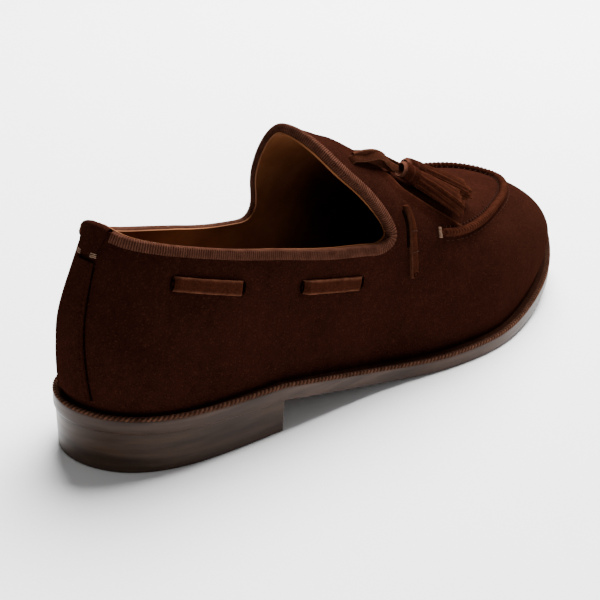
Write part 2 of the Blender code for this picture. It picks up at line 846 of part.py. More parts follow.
def make_seam():
    points = np.array(APRON_SEAM) * (LENGTH, BALL_WIDTH, INSTEP_HEIGHT)
    path = smooth_path(points, SEAM_STATIONS)
    return make_band("apron_seam", path, SEAM_HALF, SEAM_HEIGHT, suede, edge=0.35)


def make_laces():
    for inner, side in ((False, "outer"), (True, "inner")):
        for name, *run in LACE_RUNS:
            back, back_up, front, front_up = run
            alongs, ups = np.linspace(back, front, 4), np.linspace(back_up, front_up, 4)
            points = [skin.from_side(along, up, inner) for along, up in zip(alongs, ups)]
            path = smooth_path(points, LACE_STATIONS - 1)
            make_band("lace_" + name + "_" + side, path, LACE_HALF, LACE, lace_leather)
        points = [skin.from_side(along, up, inner) for along, up in RISER]
        half = RISER_HALF * np.interp(np.linspace(0, 1, LACE_STATIONS), *RISER_TAPER)
        make_band("lace_riser_" + side, smooth_path(points, LACE_STATIONS), half, LACE, lace_leather)


def lay_off(along, across, height):
    """Point a height above the upper, over a place given in shares."""
    x = along * LENGTH
    place, normal = skin.nearest((x, across * BALL_WIDTH, crown_height(x)))
    return place + normal * height


def make_knot():
    """Flattened lump of the tied lace on the instep."""
    along, across = KNOT_PLACE
    length, width, height = (share * CORD for share in KNOT_SHARES)
    centre = lay_off(along, across, GAP + height)
    _, normal = skin.nearest(centre)
    way = np.cross((0, 1, 0), normal)
    way /= np.linalg.norm(way)
    side = np.cross(normal, way)
    rings = []
    for angle in np.linspace(0.12 * pi, 0.88 * pi, 7):
        ring = []
        for turn in np.linspace(0, 2 * pi, 14, endpoint=False):
            ring.append(centre - way * length * cos(angle)
                        + sin(angle) * (side * width * cos(turn) + normal * height * sin(turn)))
        rings.append(ring)
    return make_object("lace_knot", *loft(rings, False), lace_leather)


def make_tassel(name, cap_along, cap_across, end_along, end_across):
    """Cap and fringe in one, laid on the vamp. Returns the point where the lace meets its cap."""
    cap = np.array(lay_off(cap_along, cap_across, 0))
    end = np.array(lay_off(end_along, end_across, 0))
    way = (end - cap) / np.linalg.norm(end - cap)
    turns = np.linspace(0, 2 * pi, TASSEL_STATIONS, endpoint=False)
    rings = []
    head = None
    for share, wide, high, furrow in TASSEL_PROFILE:
        middle, normal = skin.nearest(cap + way * TASSEL_LENGTH * share)
        side = np.cross(normal, way)
        side /= np.linalg.norm(side)
        centre = middle + normal * (TASSEL_LIFT + high * TASSEL_HALF)
        if head is None:
            head = centre
            forward = np.cross(side, normal)
        ring = []
        for turn in turns:
            lobe = 1 - furrow * (0.5 - 0.5 * cos(FRINGE_STRIPS * turn))
            reach = TASSEL_HALF * lobe
            ring.append(centre + side * wide * reach * cos(turn) + normal * high * reach * sin(turn))
        rings.append(ring)
    for i in range(TASSEL_STATIONS):
        strip = (i + 2) // 4 % FRINGE_STRIPS
        rings[-1][i] = rings[-1][i] + way * FRINGE_STEP * (0.5 if strip % 2 else -0.5)
    make_object("tassel_" + name, *loft(rings, False), suede, sharp=60)
    return head, forward * np.sign(np.dot(forward, way))


def make_cord(name, points):
    """Round cord along a smooth curve through the points."""
    path = smooth_path(points, CORD_STATIONS)
    curve = bpy.data.curves.new(name, "CURVE")
    curve.dimensions = "3D"
    curve.bevel_depth = CORD / 2
    curve.bevel_resolution = 2
    curve.use_fill_caps = True
    spline = curve.splines.new("POLY")
    spline.points.add(len(path) - 1)
    for point, place in zip(spline.points, path):
        point.co = (*place, 1)
    curve.materials.append(lace_leather)
    cord = bpy.data.objects.new(name, curve)
    bpy.context.scene.collection.objects.link(cord)
    cord.parent = shoe
    return cord


def make_tassels():
    """The two tassels, and the ends of the lace that run forward into their caps."""
    for name, *places in TASSELS:
        head, forward = make_tassel(name, *places)
        route = [lay_off(along, across, height * CORD) for along, across, height in LACE_ENDS[name]]
        make_cord("lace_end_" + name, route + [head - forward * CORD, head - forward * GAP])


for leftover in list(bpy.data.objects):
    bpy.data.objects.remove(leftover, do_unlink=True)

suede = make_material("brown_suede", (0.060, 0.026, 0.016), 0.95)
lace_leather = make_material("brown_lace_leather", (0.085, 0.040, 0.026), 0.80)
ribbon = make_material("ribbed_ribbon", (0.180, 0.085, 0.060), 0.85)
lining_leather = make_material("tan_lining_leather", (0.300, 0.140, 0.060), 0.60)
sole_leather = make_material("edge_dyed_sole_leather", (0.090, 0.060, 0.045), 0.45)
heel_leather = make_material("burnished_heel_leather", (0.075, 0.052, 0.040), 0.35)
welt_leather = make_material("stitched_welt_leather", (0.110, 0.065, 0.045), 0.70)

shoe = bpy.data.objects.new("shoe", None)
bpy.context.scene.collection.objects.link(shoe)
edge = outline(foot_turns())
shoe.location = (-LENGTH / 2, -(edge[:, 1].min() + edge[:, 1].max()) / 2, 0)

skin = Skin()
make_outsole()
make_heel()
make_welt()
make_insole()
make_upper()
make_binding()
make_tab()
make_stay()
make_seam()
make_laces()
make_knot()
make_tassels()
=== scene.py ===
"""Tassel loafer for the right foot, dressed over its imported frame.

Metres, toe towards +X, inner side towards +Y, +Z up, standing on the floor at Z = 0.
"""
import bpy
import numpy as np
from math import ceil, cos, pi, radians, sin
from mathutils import Matrix, Vector, noise
from mathutils.bvhtree import BVHTree
from mathutils.interpolate import poly_3d_calc


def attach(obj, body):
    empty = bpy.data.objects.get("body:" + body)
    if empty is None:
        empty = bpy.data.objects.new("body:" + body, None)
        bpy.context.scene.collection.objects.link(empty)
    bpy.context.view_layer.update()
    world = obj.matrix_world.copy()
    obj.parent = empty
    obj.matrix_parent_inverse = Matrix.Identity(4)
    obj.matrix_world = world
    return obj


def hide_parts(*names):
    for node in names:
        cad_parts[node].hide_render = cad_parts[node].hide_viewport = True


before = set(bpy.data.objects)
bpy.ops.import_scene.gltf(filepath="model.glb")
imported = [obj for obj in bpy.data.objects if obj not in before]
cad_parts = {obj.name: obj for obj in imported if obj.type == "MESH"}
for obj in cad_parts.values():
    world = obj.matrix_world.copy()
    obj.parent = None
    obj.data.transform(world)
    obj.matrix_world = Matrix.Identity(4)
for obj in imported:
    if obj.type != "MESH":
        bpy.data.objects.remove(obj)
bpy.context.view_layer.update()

# Camera
# A short telephoto view from behind the outer side, a little above the shoe, as a
# table-top product picture is taken.
VIEW_TURN = radians(-45.78)
VIEW_RISE = radians(24.01)
VIEW_ROLL = radians(1.86)
VIEW_PLACE = Vector((-0.38352, -0.34516, 0.25039))
VIEW_LENS = 76.2
SENSOR_WIDTH = 36
NEAREST_SEEN = 0.01

back = Vector((sin(VIEW_TURN) * cos(VIEW_RISE), -cos(VIEW_TURN) * cos(VIEW_RISE), sin(VIEW_RISE)))
right = Vector((cos(VIEW_TURN), sin(VIEW_TURN), 0))
up = back.cross(right)
rolled_right = right * cos(VIEW_ROLL) + up * sin(VIEW_ROLL)
rolled_up = up * cos(VIEW_ROLL) - right * sin(VIEW_ROLL)
camera = bpy.data.objects.new("camera", bpy.data.cameras.new("camera"))
camera.data.lens = VIEW_LENS
camera.data.sensor_width = SENSOR_WIDTH
camera.data.clip_start = NEAREST_SEEN
view_axes = Matrix((rolled_right, rolled_up, back)).transposed()
camera.matrix_world = Matrix.Translation(VIEW_PLACE) @ view_axes.to_4x4()
bpy.context.scene.collection.objects.link(camera)
bpy.context.scene.camera = camera


# Floor and light
# A white card under the shoe and a dim white room. A soft box high up beyond the toe throws
# the shadow back past the heel, and a weak one stands off the outer side.
def linear(colour):
    """Linear red, green, blue and alpha of an sRGB hex colour."""
    channels = [int(colour[i:i + 2], 16) / 255 for i in (1, 3, 5)]
    return tuple(c / 12.92 if c <= 0.04045 else ((c + 0.055) / 1.055) ** 2.4 for c in channels) + (1,)


def add_node(material, kind, settings, links=()):
    """A node with its settings, its inputs linked from the given outputs. Returns its first output."""
    node = material.node_tree.nodes.new(kind)
    for key, value in settings.items():
        if isinstance(key, int) or key in node.inputs:
            node.inputs[key].default_value = value
        else:
            setattr(node, key, value)
    for key, source in links:
        material.node_tree.links.new(source, node.inputs[key])
    return node.outputs[0]


def new_finish(name, **sockets):
    """A material, its shader, and the place on the shoe in metres for its patterns."""
    material = bpy.data.materials.new(name)
    material.use_nodes = True
    shader = material.node_tree.nodes["Principled BSDF"]
    for key, value in sockets.items():
        shader.inputs[key.replace("_", " ")].default_value = value
    place = material.node_tree.nodes.new("ShaderNodeTexCoord").outputs["Object"]
    return material, shader, place


card, card_shader, _ = new_finish("matt_white_card", Roughness=0.9, Specular_IOR_Level=0.1)
card_shader.inputs["Base Color"].default_value = linear("#f6f6f6")
FLOOR_REACH = 4
floor_corners = [(x * FLOOR_REACH, y * FLOOR_REACH, 0) for x, y in ((-1, -1), (1, -1), (1, 1), (-1, 1))]
floor_mesh = bpy.data.meshes.new("floor")
floor_mesh.from_pydata(floor_corners, [], [(0, 1, 2, 3)])
floor_mesh.materials.append(card)
floor = bpy.data.objects.new("floor", floor_mesh)
bpy.context.scene.collection.objects.link(floor)

ROOM_STRENGTH = 0.22
world = bpy.data.worlds.new("white_room")
world.use_nodes = True
room = world.node_tree.nodes["Background"]
room.inputs["Color"].default_value = linear("#ffffff")
room.inputs["Strength"].default_value = ROOM_STRENGTH
bpy.context.scene.world = world
SOFT_BOXES = (
    # name, place, size across, power
    ("key", (0.80, 0.40, 1.35), 1.5, 175),
    ("fill", (-0.5, -1.5, 0.9), 1.2, 3),
)
for name, place, size, power in SOFT_BOXES:
    lamp = bpy.data.lights.new(name, "AREA")
    lamp.shape = "DISK"
    lamp.size = size
    lamp.energy = power
    light = bpy.data.objects.new(name, lamp)
    aim = Vector(place).to_track_quat("Z", "Y").to_matrix()
    light.matrix_world = Matrix.Translation(place) @ aim.to_4x4()
    bpy.context.scene.collection.objects.link(light)


# Suede upper
# Quarters, vamp and apron of dark brown reversed calf, lasted over the foot shape. The quarters'
# front edges lie over the sunk apron, and the nap shows in soft lighter and darker patches.
HOME = Vector((-0.150, -0.000263, 0))
LENGTH = 0.300
BALL_WIDTH = 0.104
INSTEP_HEIGHT = 0.110
HEEL_HEIGHT = 0.0171
BREAST_HEIGHT = 0.0140
BREAST_PLACE = 0.0745
TREAD_BACK = 0.1686
TREAD_FRONT = 0.1966
TOE_SPRING = 0.0135
ARCH_FULLNESS = 0.79
SPRING_POWER = 1.8
OUTSOLE = 0.0043
WELT = 0.0022
WELT_WIDTH = 0.0048
WALL = 0.0020
GAP = 0.0003
CURVE_GAP = 0.0001
SMALL_TURN = 1e-4
BELOW_RIM = 0.94
OUTLINE = (
    # along, outer, inner
    (0.030, 0.215, 0.195),
    (0.100, 0.328, 0.288),
    (0.200, 0.368, 0.307),
    (0.330, 0.388, 0.262),
    (0.450, 0.410, 0.278),
    (0.560, 0.465, 0.370),
    (0.670, 0.478, 0.472),
    (0.780, 0.405, 0.478),
    (0.880, 0.285, 0.402),
    (0.960, 0.130, 0.266),
)
TIP_SIDE = 0.035
WELT_SHOWN = (
    # turn, width
    (0.00, 0.67),
    (0.20, 0.67),
    (0.32, 0.88),
    (0.42, 1.33),
    (0.50, 1.38),
    (0.62, 1.08),
    (0.80, 1.00),
    (1.00, 0.96),
)
RIDGE = (
    # along, height, side
    (0.000, 1.118, 0.000),
    (0.150, 1.105, 0.000),
    (0.283, 1.059, 0.004),
    (0.367, 0.986, 0.010),
    (0.450, 0.895, 0.018),
    (0.533, 0.768, 0.029),
    (0.633, 0.662, 0.038),
    (0.733, 0.577, 0.048),
    (0.833, 0.527, 0.060),
    (0.917, 0.432, 0.070),
    (1.000, 0.332, 0.072),
)
TOE_RIDGE_BEND = 0.717
HEEL_RIDGE_BEND = 0.200
SECTIONS = (
    # turn, low_out, low_up, mid_out, mid_up, shoulder_out, shoulder_up, crown_out, inner_more
    (0.00, 1.05, 0.13, 1.06, 0.34, 0.64, 0.58, 0.13, 0.00),
    (0.12, 1.07, 0.13, 1.06, 0.31, 0.69, 0.52, 0.26, 0.00),
    (0.24, 1.04, 0.13, 1.03, 0.34, 0.77, 0.58, 0.38, 0.04),
    (0.36, 1.04, 0.13, 1.08, 0.39, 0.92, 0.70, 0.41, 0.09),
    (0.46, 1.03, 0.14, 1.11, 0.45, 1.00, 0.82, 0.37, 0.12),
    (0.58, 1.03, 0.18, 1.04, 0.48, 0.82, 0.88, 0.40, 0.09),
    (0.70, 1.07, 0.22, 1.06, 0.54, 0.78, 0.89, 0.40, 0.03),
    (0.85, 1.11, 0.26, 1.08, 0.58, 0.77, 0.89, 0.42, 0.00),
    (1.00, 1.05, 0.26, 1.00, 0.59, 0.80, 0.92, 0.44, 0.00),
)
SECTION_KNOTS = (0, 0, 0, 0, 1 / 3, 2 / 3, 1, 1, 1, 1)
OUTER_COLLAR = (
    # along, climb
    (0.000, 0.685),
    (0.030, 0.693),
    (0.083, 0.669),
    (0.139, 0.622),
    (0.208, 0.556),
    (0.283, 0.499),
    (0.351, 0.469),
    (0.405, 0.461),
    (0.433, 0.474),
    (0.443, 0.502),
    (0.442, 0.545),
    (0.431, 0.614),
    (0.415, 0.687),
    (0.394, 0.762),
    (0.381, 0.845),
    (0.373, 0.915),
    (0.368, 1.000),
)
INNER_COLLAR = (
    (0.000, 0.685),
    (0.030, 0.684),
    (0.065, 0.650),
    (0.109, 0.602),
    (0.156, 0.540),
    (0.203, 0.485),
    (0.250, 0.442),
    (0.300, 0.420),
    (0.345, 0.420),
    (0.368, 0.436),
    (0.377, 0.475),
    (0.378, 0.520),
    (0.373, 0.592),
    (0.370, 0.651),
    (0.369, 0.717),
    (0.369, 0.800),
    (0.369, 0.900),
    (0.368, 1.000),
)
RIM_SPANS = (
    # rim share reached, columns on the way
    (0.036, 2),
    (0.620, 13),
    (0.850, 8),
    (1.000, 6),
)
RIDGE_COLUMNS = 13
WALL_ROWS = 11
FAN_START = 14
FAN_FOOT_END = 0.61
FAN_BENDS = ((16.5, 18, 20, 24, 34), (3.0, 5.0, 4.0, 3.0, 1.5))
APRON_SEAM = (
    # along, across, up
    (0.549, -0.367, 0.554),
    (0.585, -0.367, 0.533),
    (0.642, -0.344, 0.522),
    (0.681, -0.311, 0.521),
    (0.724, -0.260, 0.519),
    (0.760, -0.214, 0.519),
    (0.795, -0.155, 0.523),
    (0.825, -0.078, 0.523),
    (0.840, 0.010, 0.521),
    (0.836, 0.090, 0.523),
    (0.820, 0.168, 0.528),
    (0.795, 0.228, 0.532),
    (0.755, 0.282, 0.535),
    (0.690, 0.318, 0.560),
    (0.630, 0.322, 0.580),
    (0.570, 0.315, 0.600),
)
LACE_RUNS = (
    # name, back along, back up, front along, front up
    ("rear", 0.101, 0.650, 0.192, 0.586),
    ("front", 0.284, 0.527, 0.393, 0.464),
)


def natural_spline(keys, values, at):
    """Cubic curve through the values, straight at both ends."""
    keys = np.asarray(keys, float)
    values = np.asarray(values, float)
    step = np.diff(keys)
    slope = np.diff(values) / step
    matrix = np.eye(len(keys))
    right = np.zeros(len(keys))
    for i in range(1, len(keys) - 1):
        matrix[i, i - 1:i + 2] = step[i - 1], 2 * (step[i - 1] + step[i]), step[i]
        right[i] = 6 * (slope[i] - slope[i - 1])
    bend = np.linalg.solve(matrix, right)
    at = np.clip(np.asarray(at, float), keys[0], keys[-1])
    i = np.clip(np.searchsorted(keys, at, side="right") - 1, 0, len(step) - 1)
    return spline_piece(step[i], values[i], values[i + 1], bend[i], bend[i + 1], at - keys[i])


def periodic_spline(keys, values, period, at):
    """Cubic curve through the values that closes on itself after one period."""
    keys = np.asarray(keys, float)
    values = np.asarray(values, float)
    count = len(keys)
    step = np.diff(np.append(keys, keys[0] + period))
    slope = (np.roll(values, -1) - values) / step
    matrix = np.zeros((count, count))
    for i in range(count):
        matrix[i, i - 1] += step[i - 1]
        matrix[i, i] += 2 * (step[i - 1] + step[i])
        matrix[i, (i + 1) % count] += step[i]
    bend = np.linalg.solve(matrix, 6 * (slope - np.roll(slope, 1)))
    at = np.mod(np.asarray(at, float) - keys[0], period) + keys[0]
    i = np.searchsorted(keys, at, side="right") - 1
    j = (i + 1) % count
    return spline_piece(step[i], values[i], values[j], bend[i], bend[j], at - keys[i])


def spline_piece(step, start, end, start_bend, end_bend, way):
    """One cubic stretch of a spline."""
    rest = step - way
    curve = (start_bend * rest ** 3 + end_bend * way ** 3) / (6 * step)
    return (curve + (start / step - start_bend * step / 6) * rest
            + (end / step - end_bend * step / 6) * way)


def turn_at(along):
    """Turn on the outer side at a share of the length."""
    return np.arccos(1 - 2 * np.clip(along, 0, 1)) / pi


def along_at(turn):
    return (1 - np.cos(pi * np.asarray(turn, float))) / 2


def folded(turn):
    """Turn measured back to the outer side, for what both sides share."""
    turn = np.mod(np.asarray(turn, float), 2)
    return np.where(turn > 1, 2 - turn, turn)


def outline(turn):
    """Edge of the outsole seen from above."""
    rows = OUTLINE
    keys = [0.0] + [turn_at(row[0]) for row in rows] + [1.0]
    keys += [2 - turn_at(row[0]) for row in reversed(rows)]
    sides = [0.0] + [-row[1] for row in rows] + [TIP_SIDE] + [row[2] for row in reversed(rows)]
    across = periodic_spline(keys, sides, 2.0, turn)
    return np.stack([LENGTH * along_at(turn), BALL_WIDTH * across], -1)


def inset_outline(turn, inset):
    """The outline drawn in by a distance square to itself."""
    turn = np.asarray(turn, float)
    way = outline(turn + SMALL_TURN) - outline(turn - SMALL_TURN)
    way = way / np.linalg.norm(way, axis=-1, keepdims=True)
    inward = np.stack([-way[..., 1], way[..., 0]], -1)
    return outline(turn) + inward * np.asarray(inset, float)[..., None]


def welt_shown(turn):
    keys, widths = zip(*WELT_SHOWN)
    return WELT_WIDTH * np.interp(folded(turn), keys, widths)


def sole_height(x):
    """Underside of the outsole above the floor: seat, waist, tread and toe spring."""
    x = np.asarray(x, float)
    seat = HEEL_HEIGHT + (BREAST_HEIGHT - HEEL_HEIGHT) * x / BREAST_PLACE
    u = np.clip((x - BREAST_PLACE) / (TREAD_BACK - BREAST_PLACE), 0, 1)
    waist = BREAST_HEIGHT * (1 - u) ** 2 * (1 + ARCH_FULLNESS * u)
    v = np.clip((x - TREAD_FRONT) / (LENGTH - TREAD_FRONT), 0, 1)
    return np.where(x < BREAST_PLACE, seat, waist) + TOE_SPRING * v ** SPRING_POWER


def bed_height(x):
    """Top of the outsole, with the clearance that the pieces on it keep."""
    return sole_height(x) + OUTSOLE + GAP + CURVE_GAP


def feather_height(x):
    return bed_height(x) + WELT + GAP


def ridge_place(along):
    """Where the ridge of the last lies for a station on the outline."""
    toe = np.maximum(along - TOE_RIDGE_BEND, 0)
    heel = np.maximum(HEEL_RIDGE_BEND - along, 0)
    return along - toe ** 2 / (2 * (1 - TOE_RIDGE_BEND)) + heel ** 2 / (2 * HEEL_RIDGE_BEND)


def outline_place(ridge_along):
    """Station on the outline for a place on the ridge, forward of the heel."""
    reach = 1 - TOE_RIDGE_BEND
    past = np.clip((ridge_along - TOE_RIDGE_BEND) / reach, 0, 0.5)
    bent = TOE_RIDGE_BEND + reach * (1 - np.sqrt(1 - 2 * past))
    return np.where(ridge_along > TOE_RIDGE_BEND, bent, ridge_along)


def ridge_table(column, x):
    return natural_spline([row[0] for row in RIDGE], [row[column] for row in RIDGE], x / LENGTH)


def crown_height(x):
    return INSTEP_HEIGHT * ridge_table(1, x)


def section(turn):
    """Columns of the section table at a turn, mirrored past heel and toe to stay smooth there."""
    turn = np.asarray(turn, float)
    rows = [(-row[0],) + row[1:] for row in SECTIONS[3:0:-1]] + list(SECTIONS)
    rows += [(2 - row[0],) + row[1:] for row in SECTIONS[-2:-5:-1]]
    keys = [row[0] for row in rows]
    at = folded(turn)
    columns = [natural_spline(keys, [row[i] for row in rows], at) for i in range(1, 9)]
    columns[7] = np.where(np.mod(turn, 2) > 1, columns[7], 0.0)
    return columns


def section_weights(climb):
    """Weights of the six control values of a section at a climb."""
    climb = np.clip(np.asarray(climb, float), 0, 1 - 1e-9)
    knots = SECTION_KNOTS
    weights = [((climb >= knots[i]) & (climb < knots[i + 1])) * 1.0 for i in range(9)]
    for degree in (1, 2, 3):
        raised = []
        for i in range(9 - degree):
            rise = knots[i + degree] - knots[i]
            fall = knots[i + degree + 1] - knots[i + 1]
            up = (climb - knots[i]) / rise if rise else 0 * climb
            down = (knots[i + degree + 1] - climb) / fall if fall else 0 * climb
            raised.append(up * weights[i] + down * weights[i + 1])
        weights = raised
    return weights


def upper_point(turn, climb):
    """Outer face of the upper."""
    turn, climb = np.broadcast_arrays(np.asarray(turn, float), np.asarray(climb, float))
    feather = inset_outline(turn, welt_shown(turn))
    ridge_x = LENGTH * ridge_place(along_at(turn))
    ridge_y = BALL_WIDTH * ridge_table(2, ridge_x)
    low_out, low_up, mid_out, mid_up, shoulder_out, shoulder_up, crown_out, more = section(turn)
    weight = section_weights(climb)
    reach = (weight[0] + weight[1] * (low_out + 0.4 * more) + weight[2] * (mid_out + more)
             + weight[3] * (shoulder_out + more) + weight[4] * (crown_out + 0.5 * more))
    rise = (weight[1] * low_up + weight[2] * mid_up + weight[3] * shoulder_up
            + weight[4] + weight[5])
    x = ridge_x + (feather[..., 0] - ridge_x) * reach
    y = ridge_y + (feather[..., 1] - ridge_y) * reach
    foot = feather_height(feather[..., 0])
    return np.stack([x, y, foot + (crown_height(x) - foot) * rise], -1)


def collar(share, inner):
    """Turn and climb of the collar's edge at a share of its way from heel to throat."""
    along, climb = np.array(INNER_COLLAR if inner else OUTER_COLLAR).T
    turn = 2 - turn_at(along) if inner else turn_at(along)
    turn[0] = 0
    steps = np.linalg.norm(np.diff(upper_point(turn, climb), axis=0), axis=1)
    way = np.append(0, np.cumsum(steps))
    share = np.asarray(share, float) * way[-1]
    turn = natural_spline(way, turn_at(along), share)
    return (2 - turn if inner else turn), natural_spline(way, climb, share)


def rim_shares(fineness):
    shares = [0.0]
    for reached, count in RIM_SPANS:
        shares += list(np.linspace(shares[-1], reached, count * fineness + 1)[1:])
    return np.array(shares)


def column_plan(inner, fineness):
    """Foot turn, top turn, top climb and bend of each column of the upper, from heel to toe.

    The feet stand opposite each other on the two sides. The last value is the throat's column.
    """
    shares = rim_shares(fineness)
    rim_turn, rim_climb = collar(shares, inner)
    rim_turn = folded(rim_turn)
    start = FAN_START * fineness
    seat_turn = collar(shares, False)[0]
    ridge_start = LENGTH * ridge_place(along_at(rim_turn[-1]))
    ridge_x = np.linspace(ridge_start, LENGTH * ridge_place(1.0), RIDGE_COLUMNS * fineness + 1)[1:]
    ridge_turn = turn_at(outline_place(ridge_x / LENGTH))
    fan = np.linspace(seat_turn[start], FAN_FOOT_END, len(shares) - start)
    front = np.linspace(FAN_FOOT_END, 1, len(ridge_x) + 1)[1:]
    foot = np.concatenate([seat_turn[:start], fan, front])
    breast = turn_at(BREAST_PLACE / LENGTH)
    foot[np.argmin(abs(foot - breast))] = breast
    top = np.concatenate([rim_turn, ridge_turn])
    climb = np.concatenate([rim_climb, np.ones(len(ridge_x))])
    bend = np.interp(np.arange(len(top)) / fineness, *FAN_BENDS)
    return foot, top, climb, bend, len(shares) - 1


def column_point(foot, top, top_climb, bend, share, inner):
    """Point of the upper at a share of the way up one column."""
    turn = foot + (top - foot) * share ** bend
    return upper_point(2 - turn if inner else turn, top_climb * share)


def outer_skin(fineness, rows):
    """Vertices, faces and index grid of the upper's outer face, with its upright foot."""
    plans = column_plan(False, fineness), column_plan(True, fineness)
    half = len(plans[0][0]) - 1
    throat = plans[0][-1]
    vertices = []
    grid = []
    for k in range(2 * half):
        inner = k > half
        i = 2 * half - k if inner else k
        column = [values[i] for values in plans[inner][:-1]]
        points = column_point(*column, np.linspace(0, 1, rows + 1), inner)
        base = points[0].copy()
        base[2] = bed_height(base[0])
        points = np.vstack([base, points])
        shared = inner and i >= throat
        if shared:
            points = points[:-1]
        first = len(vertices)
        vertices += list(points)
        column = list(range(first, first + len(points)))
        if shared:
            column.append(grid[i][-1])
        grid.append(column)
    faces = []
    for k in range(2 * half):
        here, there = grid[k], grid[(k + 1) % (2 * half)]
        for j in range(rows + 1):
            faces.append((here[j], there[j], there[j + 1], here[j + 1]))
    return np.array(vertices), faces, grid, throat


def vertex_normals(vertices, faces):
    normals = np.zeros_like(vertices)
    quads = np.array(faces)
    a, b, c, d = (vertices[quads[:, i]] for i in range(4))
    area = np.cross(c - a, d - b)
    for i in range(4):
        np.add.at(normals, quads[:, i], area)
    return normals / np.linalg.norm(normals, axis=1, keepdims=True)


def rim_loop(grid, throat):
    """Columns that end on the collar, from the throat's inner side round the heel to the outer."""
    count = len(grid)
    return [k % count for k in range(count - throat, count + throat + 1)]


class Skin:
    """Fine copy of the upper's outer face, on which the pieces laid over it are placed."""

    def __init__(self, fineness):
        vertices, faces, grid, _ = outer_skin(fineness, WALL_ROWS * fineness)
        self.vertices = [Vector(point) for point in vertices]
        self.normals = vertex_normals(vertices, faces)
        self.steady_normals(grid)
        self.faces = faces
        self.tree = BVHTree.FromPolygons(self.vertices, faces)

    def steady_normals(self, grid):
        """Where cells are squeezed at the rim, a normal repeats the one below it."""
        for column in grid:
            for below, here in zip(column[1:], column[2:]):
                if np.dot(self.normals[below], self.normals[here]) < 0.5:
                    self.normals[here] = self.normals[below]

    def frame(self, hit):
        """Point and smooth outward normal at a hit on the skin."""
        place, _, index, _ = hit
        corners = self.faces[index]
        weights = poly_3d_calc([self.vertices[i] for i in corners], place)
        normal = sum(weight * self.normals[i] for weight, i in zip(weights, corners))
        return np.array(place), normal / np.linalg.norm(normal)

    def nearest(self, point):
        return self.frame(self.tree.find_nearest(Vector(point)))

    def from_side(self, along, up, inner):
        """Where a level line from beside the shoe meets the upper."""
        side = 1 if inner else -1
        start = Vector((along * LENGTH, side * BALL_WIDTH, up * INSTEP_HEIGHT))
        return self.frame(self.tree.ray_cast(start, Vector((0, -side, 0))))[0]


def distances(points):
    """How far along a line each of its points lies."""
    return np.append(0, np.cumsum(np.linalg.norm(np.diff(points, axis=0), axis=1)))


def points_at(at, way, points):
    """Points at given distances along a line, whose own points lie at the distances in way."""
    return np.column_stack([np.interp(at, way, points[:, i]) for i in range(3)])


def circle(count):
    """Evenly spaced angles once round."""
    return np.linspace(0, 2 * pi, count, endpoint=False)


def smooth_path(points, count):
    """Evenly spaced points on a smooth curve through the given ones."""
    points = np.array(points, float)
    way = distances(points)
    at = np.linspace(0, way[-1], count)
    return np.column_stack([natural_spline(way, points[:, i], at) for i in range(3)])


def tangents(path):
    way = np.gradient(path, axis=0)
    return way / np.linalg.norm(way, axis=1, keepdims=True)


def sideways(normal, way):
    """Unit vector across a surface, square to its normal and to a way along it."""
    side = np.cross(normal, way)
    return side / np.linalg.norm(side)


def loft(rings, closed):
    """Vertices and faces of a solid through rings of equal count, capped unless closed."""
    size = len(rings[0])
    vertices = [point for ring in rings for point in ring]
    faces = []
    for i in range(len(rings) if closed else len(rings) - 1):
        for j in range(size):
            k = (j + 1) % size
            here, there = i * size, (i + 1) % len(rings) * size
            faces.append((here + j, here + k, there + k, there + j))
    if not closed:
        last = (len(rings) - 1) * size
        faces.append(tuple(range(size)))
        faces.append(tuple(range(last, last + size)))
    return vertices, faces


def make_piece(name, vertices, faces, finish, replaced=(), slot=None, wear=None):
    """A smooth piece of the shoe that rides on its one body. Wear says where its edges are rubbed pale or
    carry a painted highlight.
    """
    mesh = bpy.data.meshes.new(name)
    mesh.from_pydata([tuple(Vector(point) + HOME) for point in vertices], [], faces)
    mesh.validate()
    mesh.shade_smooth()
    mesh.set_sharp_from_angle(angle=radians(50))
    mesh.materials.append(finish)
    if wear is not None:
        worn = mesh.attributes.new("wear", "FLOAT", "POINT")
        worn.data.foreach_set("value", np.ravel(wear).astype(float))
    piece = bpy.data.objects.new(name, mesh)
    bpy.context.scene.collection.objects.link(piece)
    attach(piece, "root")
    if replaced:
        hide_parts(*replaced)
    return piece


def smooth_step(value, low, high):
    share = np.clip((value - low) / (high - low), 0, 1)
    return share * share * (3 - 2 * share)


def shell(vertices, faces, grid, throat, normals, outer, inner, lift=0.0):
    """Closed wall between two depths under the skin, its rim lifted along the wall."""
    top = np.array([column[-1] for column in grid[:throat + 1] + grid[len(grid) - throat:]])
    base = vertices.copy()
    if lift:
        below = np.array([column[-2] for column in grid[:throat + 1] + grid[len(grid) - throat:]])
        way = vertices[top] - vertices[below]
        base[top] += lift * way / np.linalg.norm(way, axis=1, keepdims=True)
    shift = len(vertices)
    solid = list(faces) + [tuple(index + shift for index in reversed(face)) for face in faces]
    for k, column in enumerate(grid):
        here, there = column[0], grid[(k + 1) % len(grid)][0]
        solid.append((there, here, here + shift, there + shift))
    loop = rim_loop(grid, throat)
    for first, second in zip(loop, loop[1:]):
        here, there = grid[first][-1], grid[second][-1]
        solid.append((here, there, there + shift, here + shift))
    outer = np.asarray(outer)
    outer_face = base - normals * (outer[:, None] if outer.ndim else outer)
    return np.vstack([outer_face, base - normals * inner]), solid


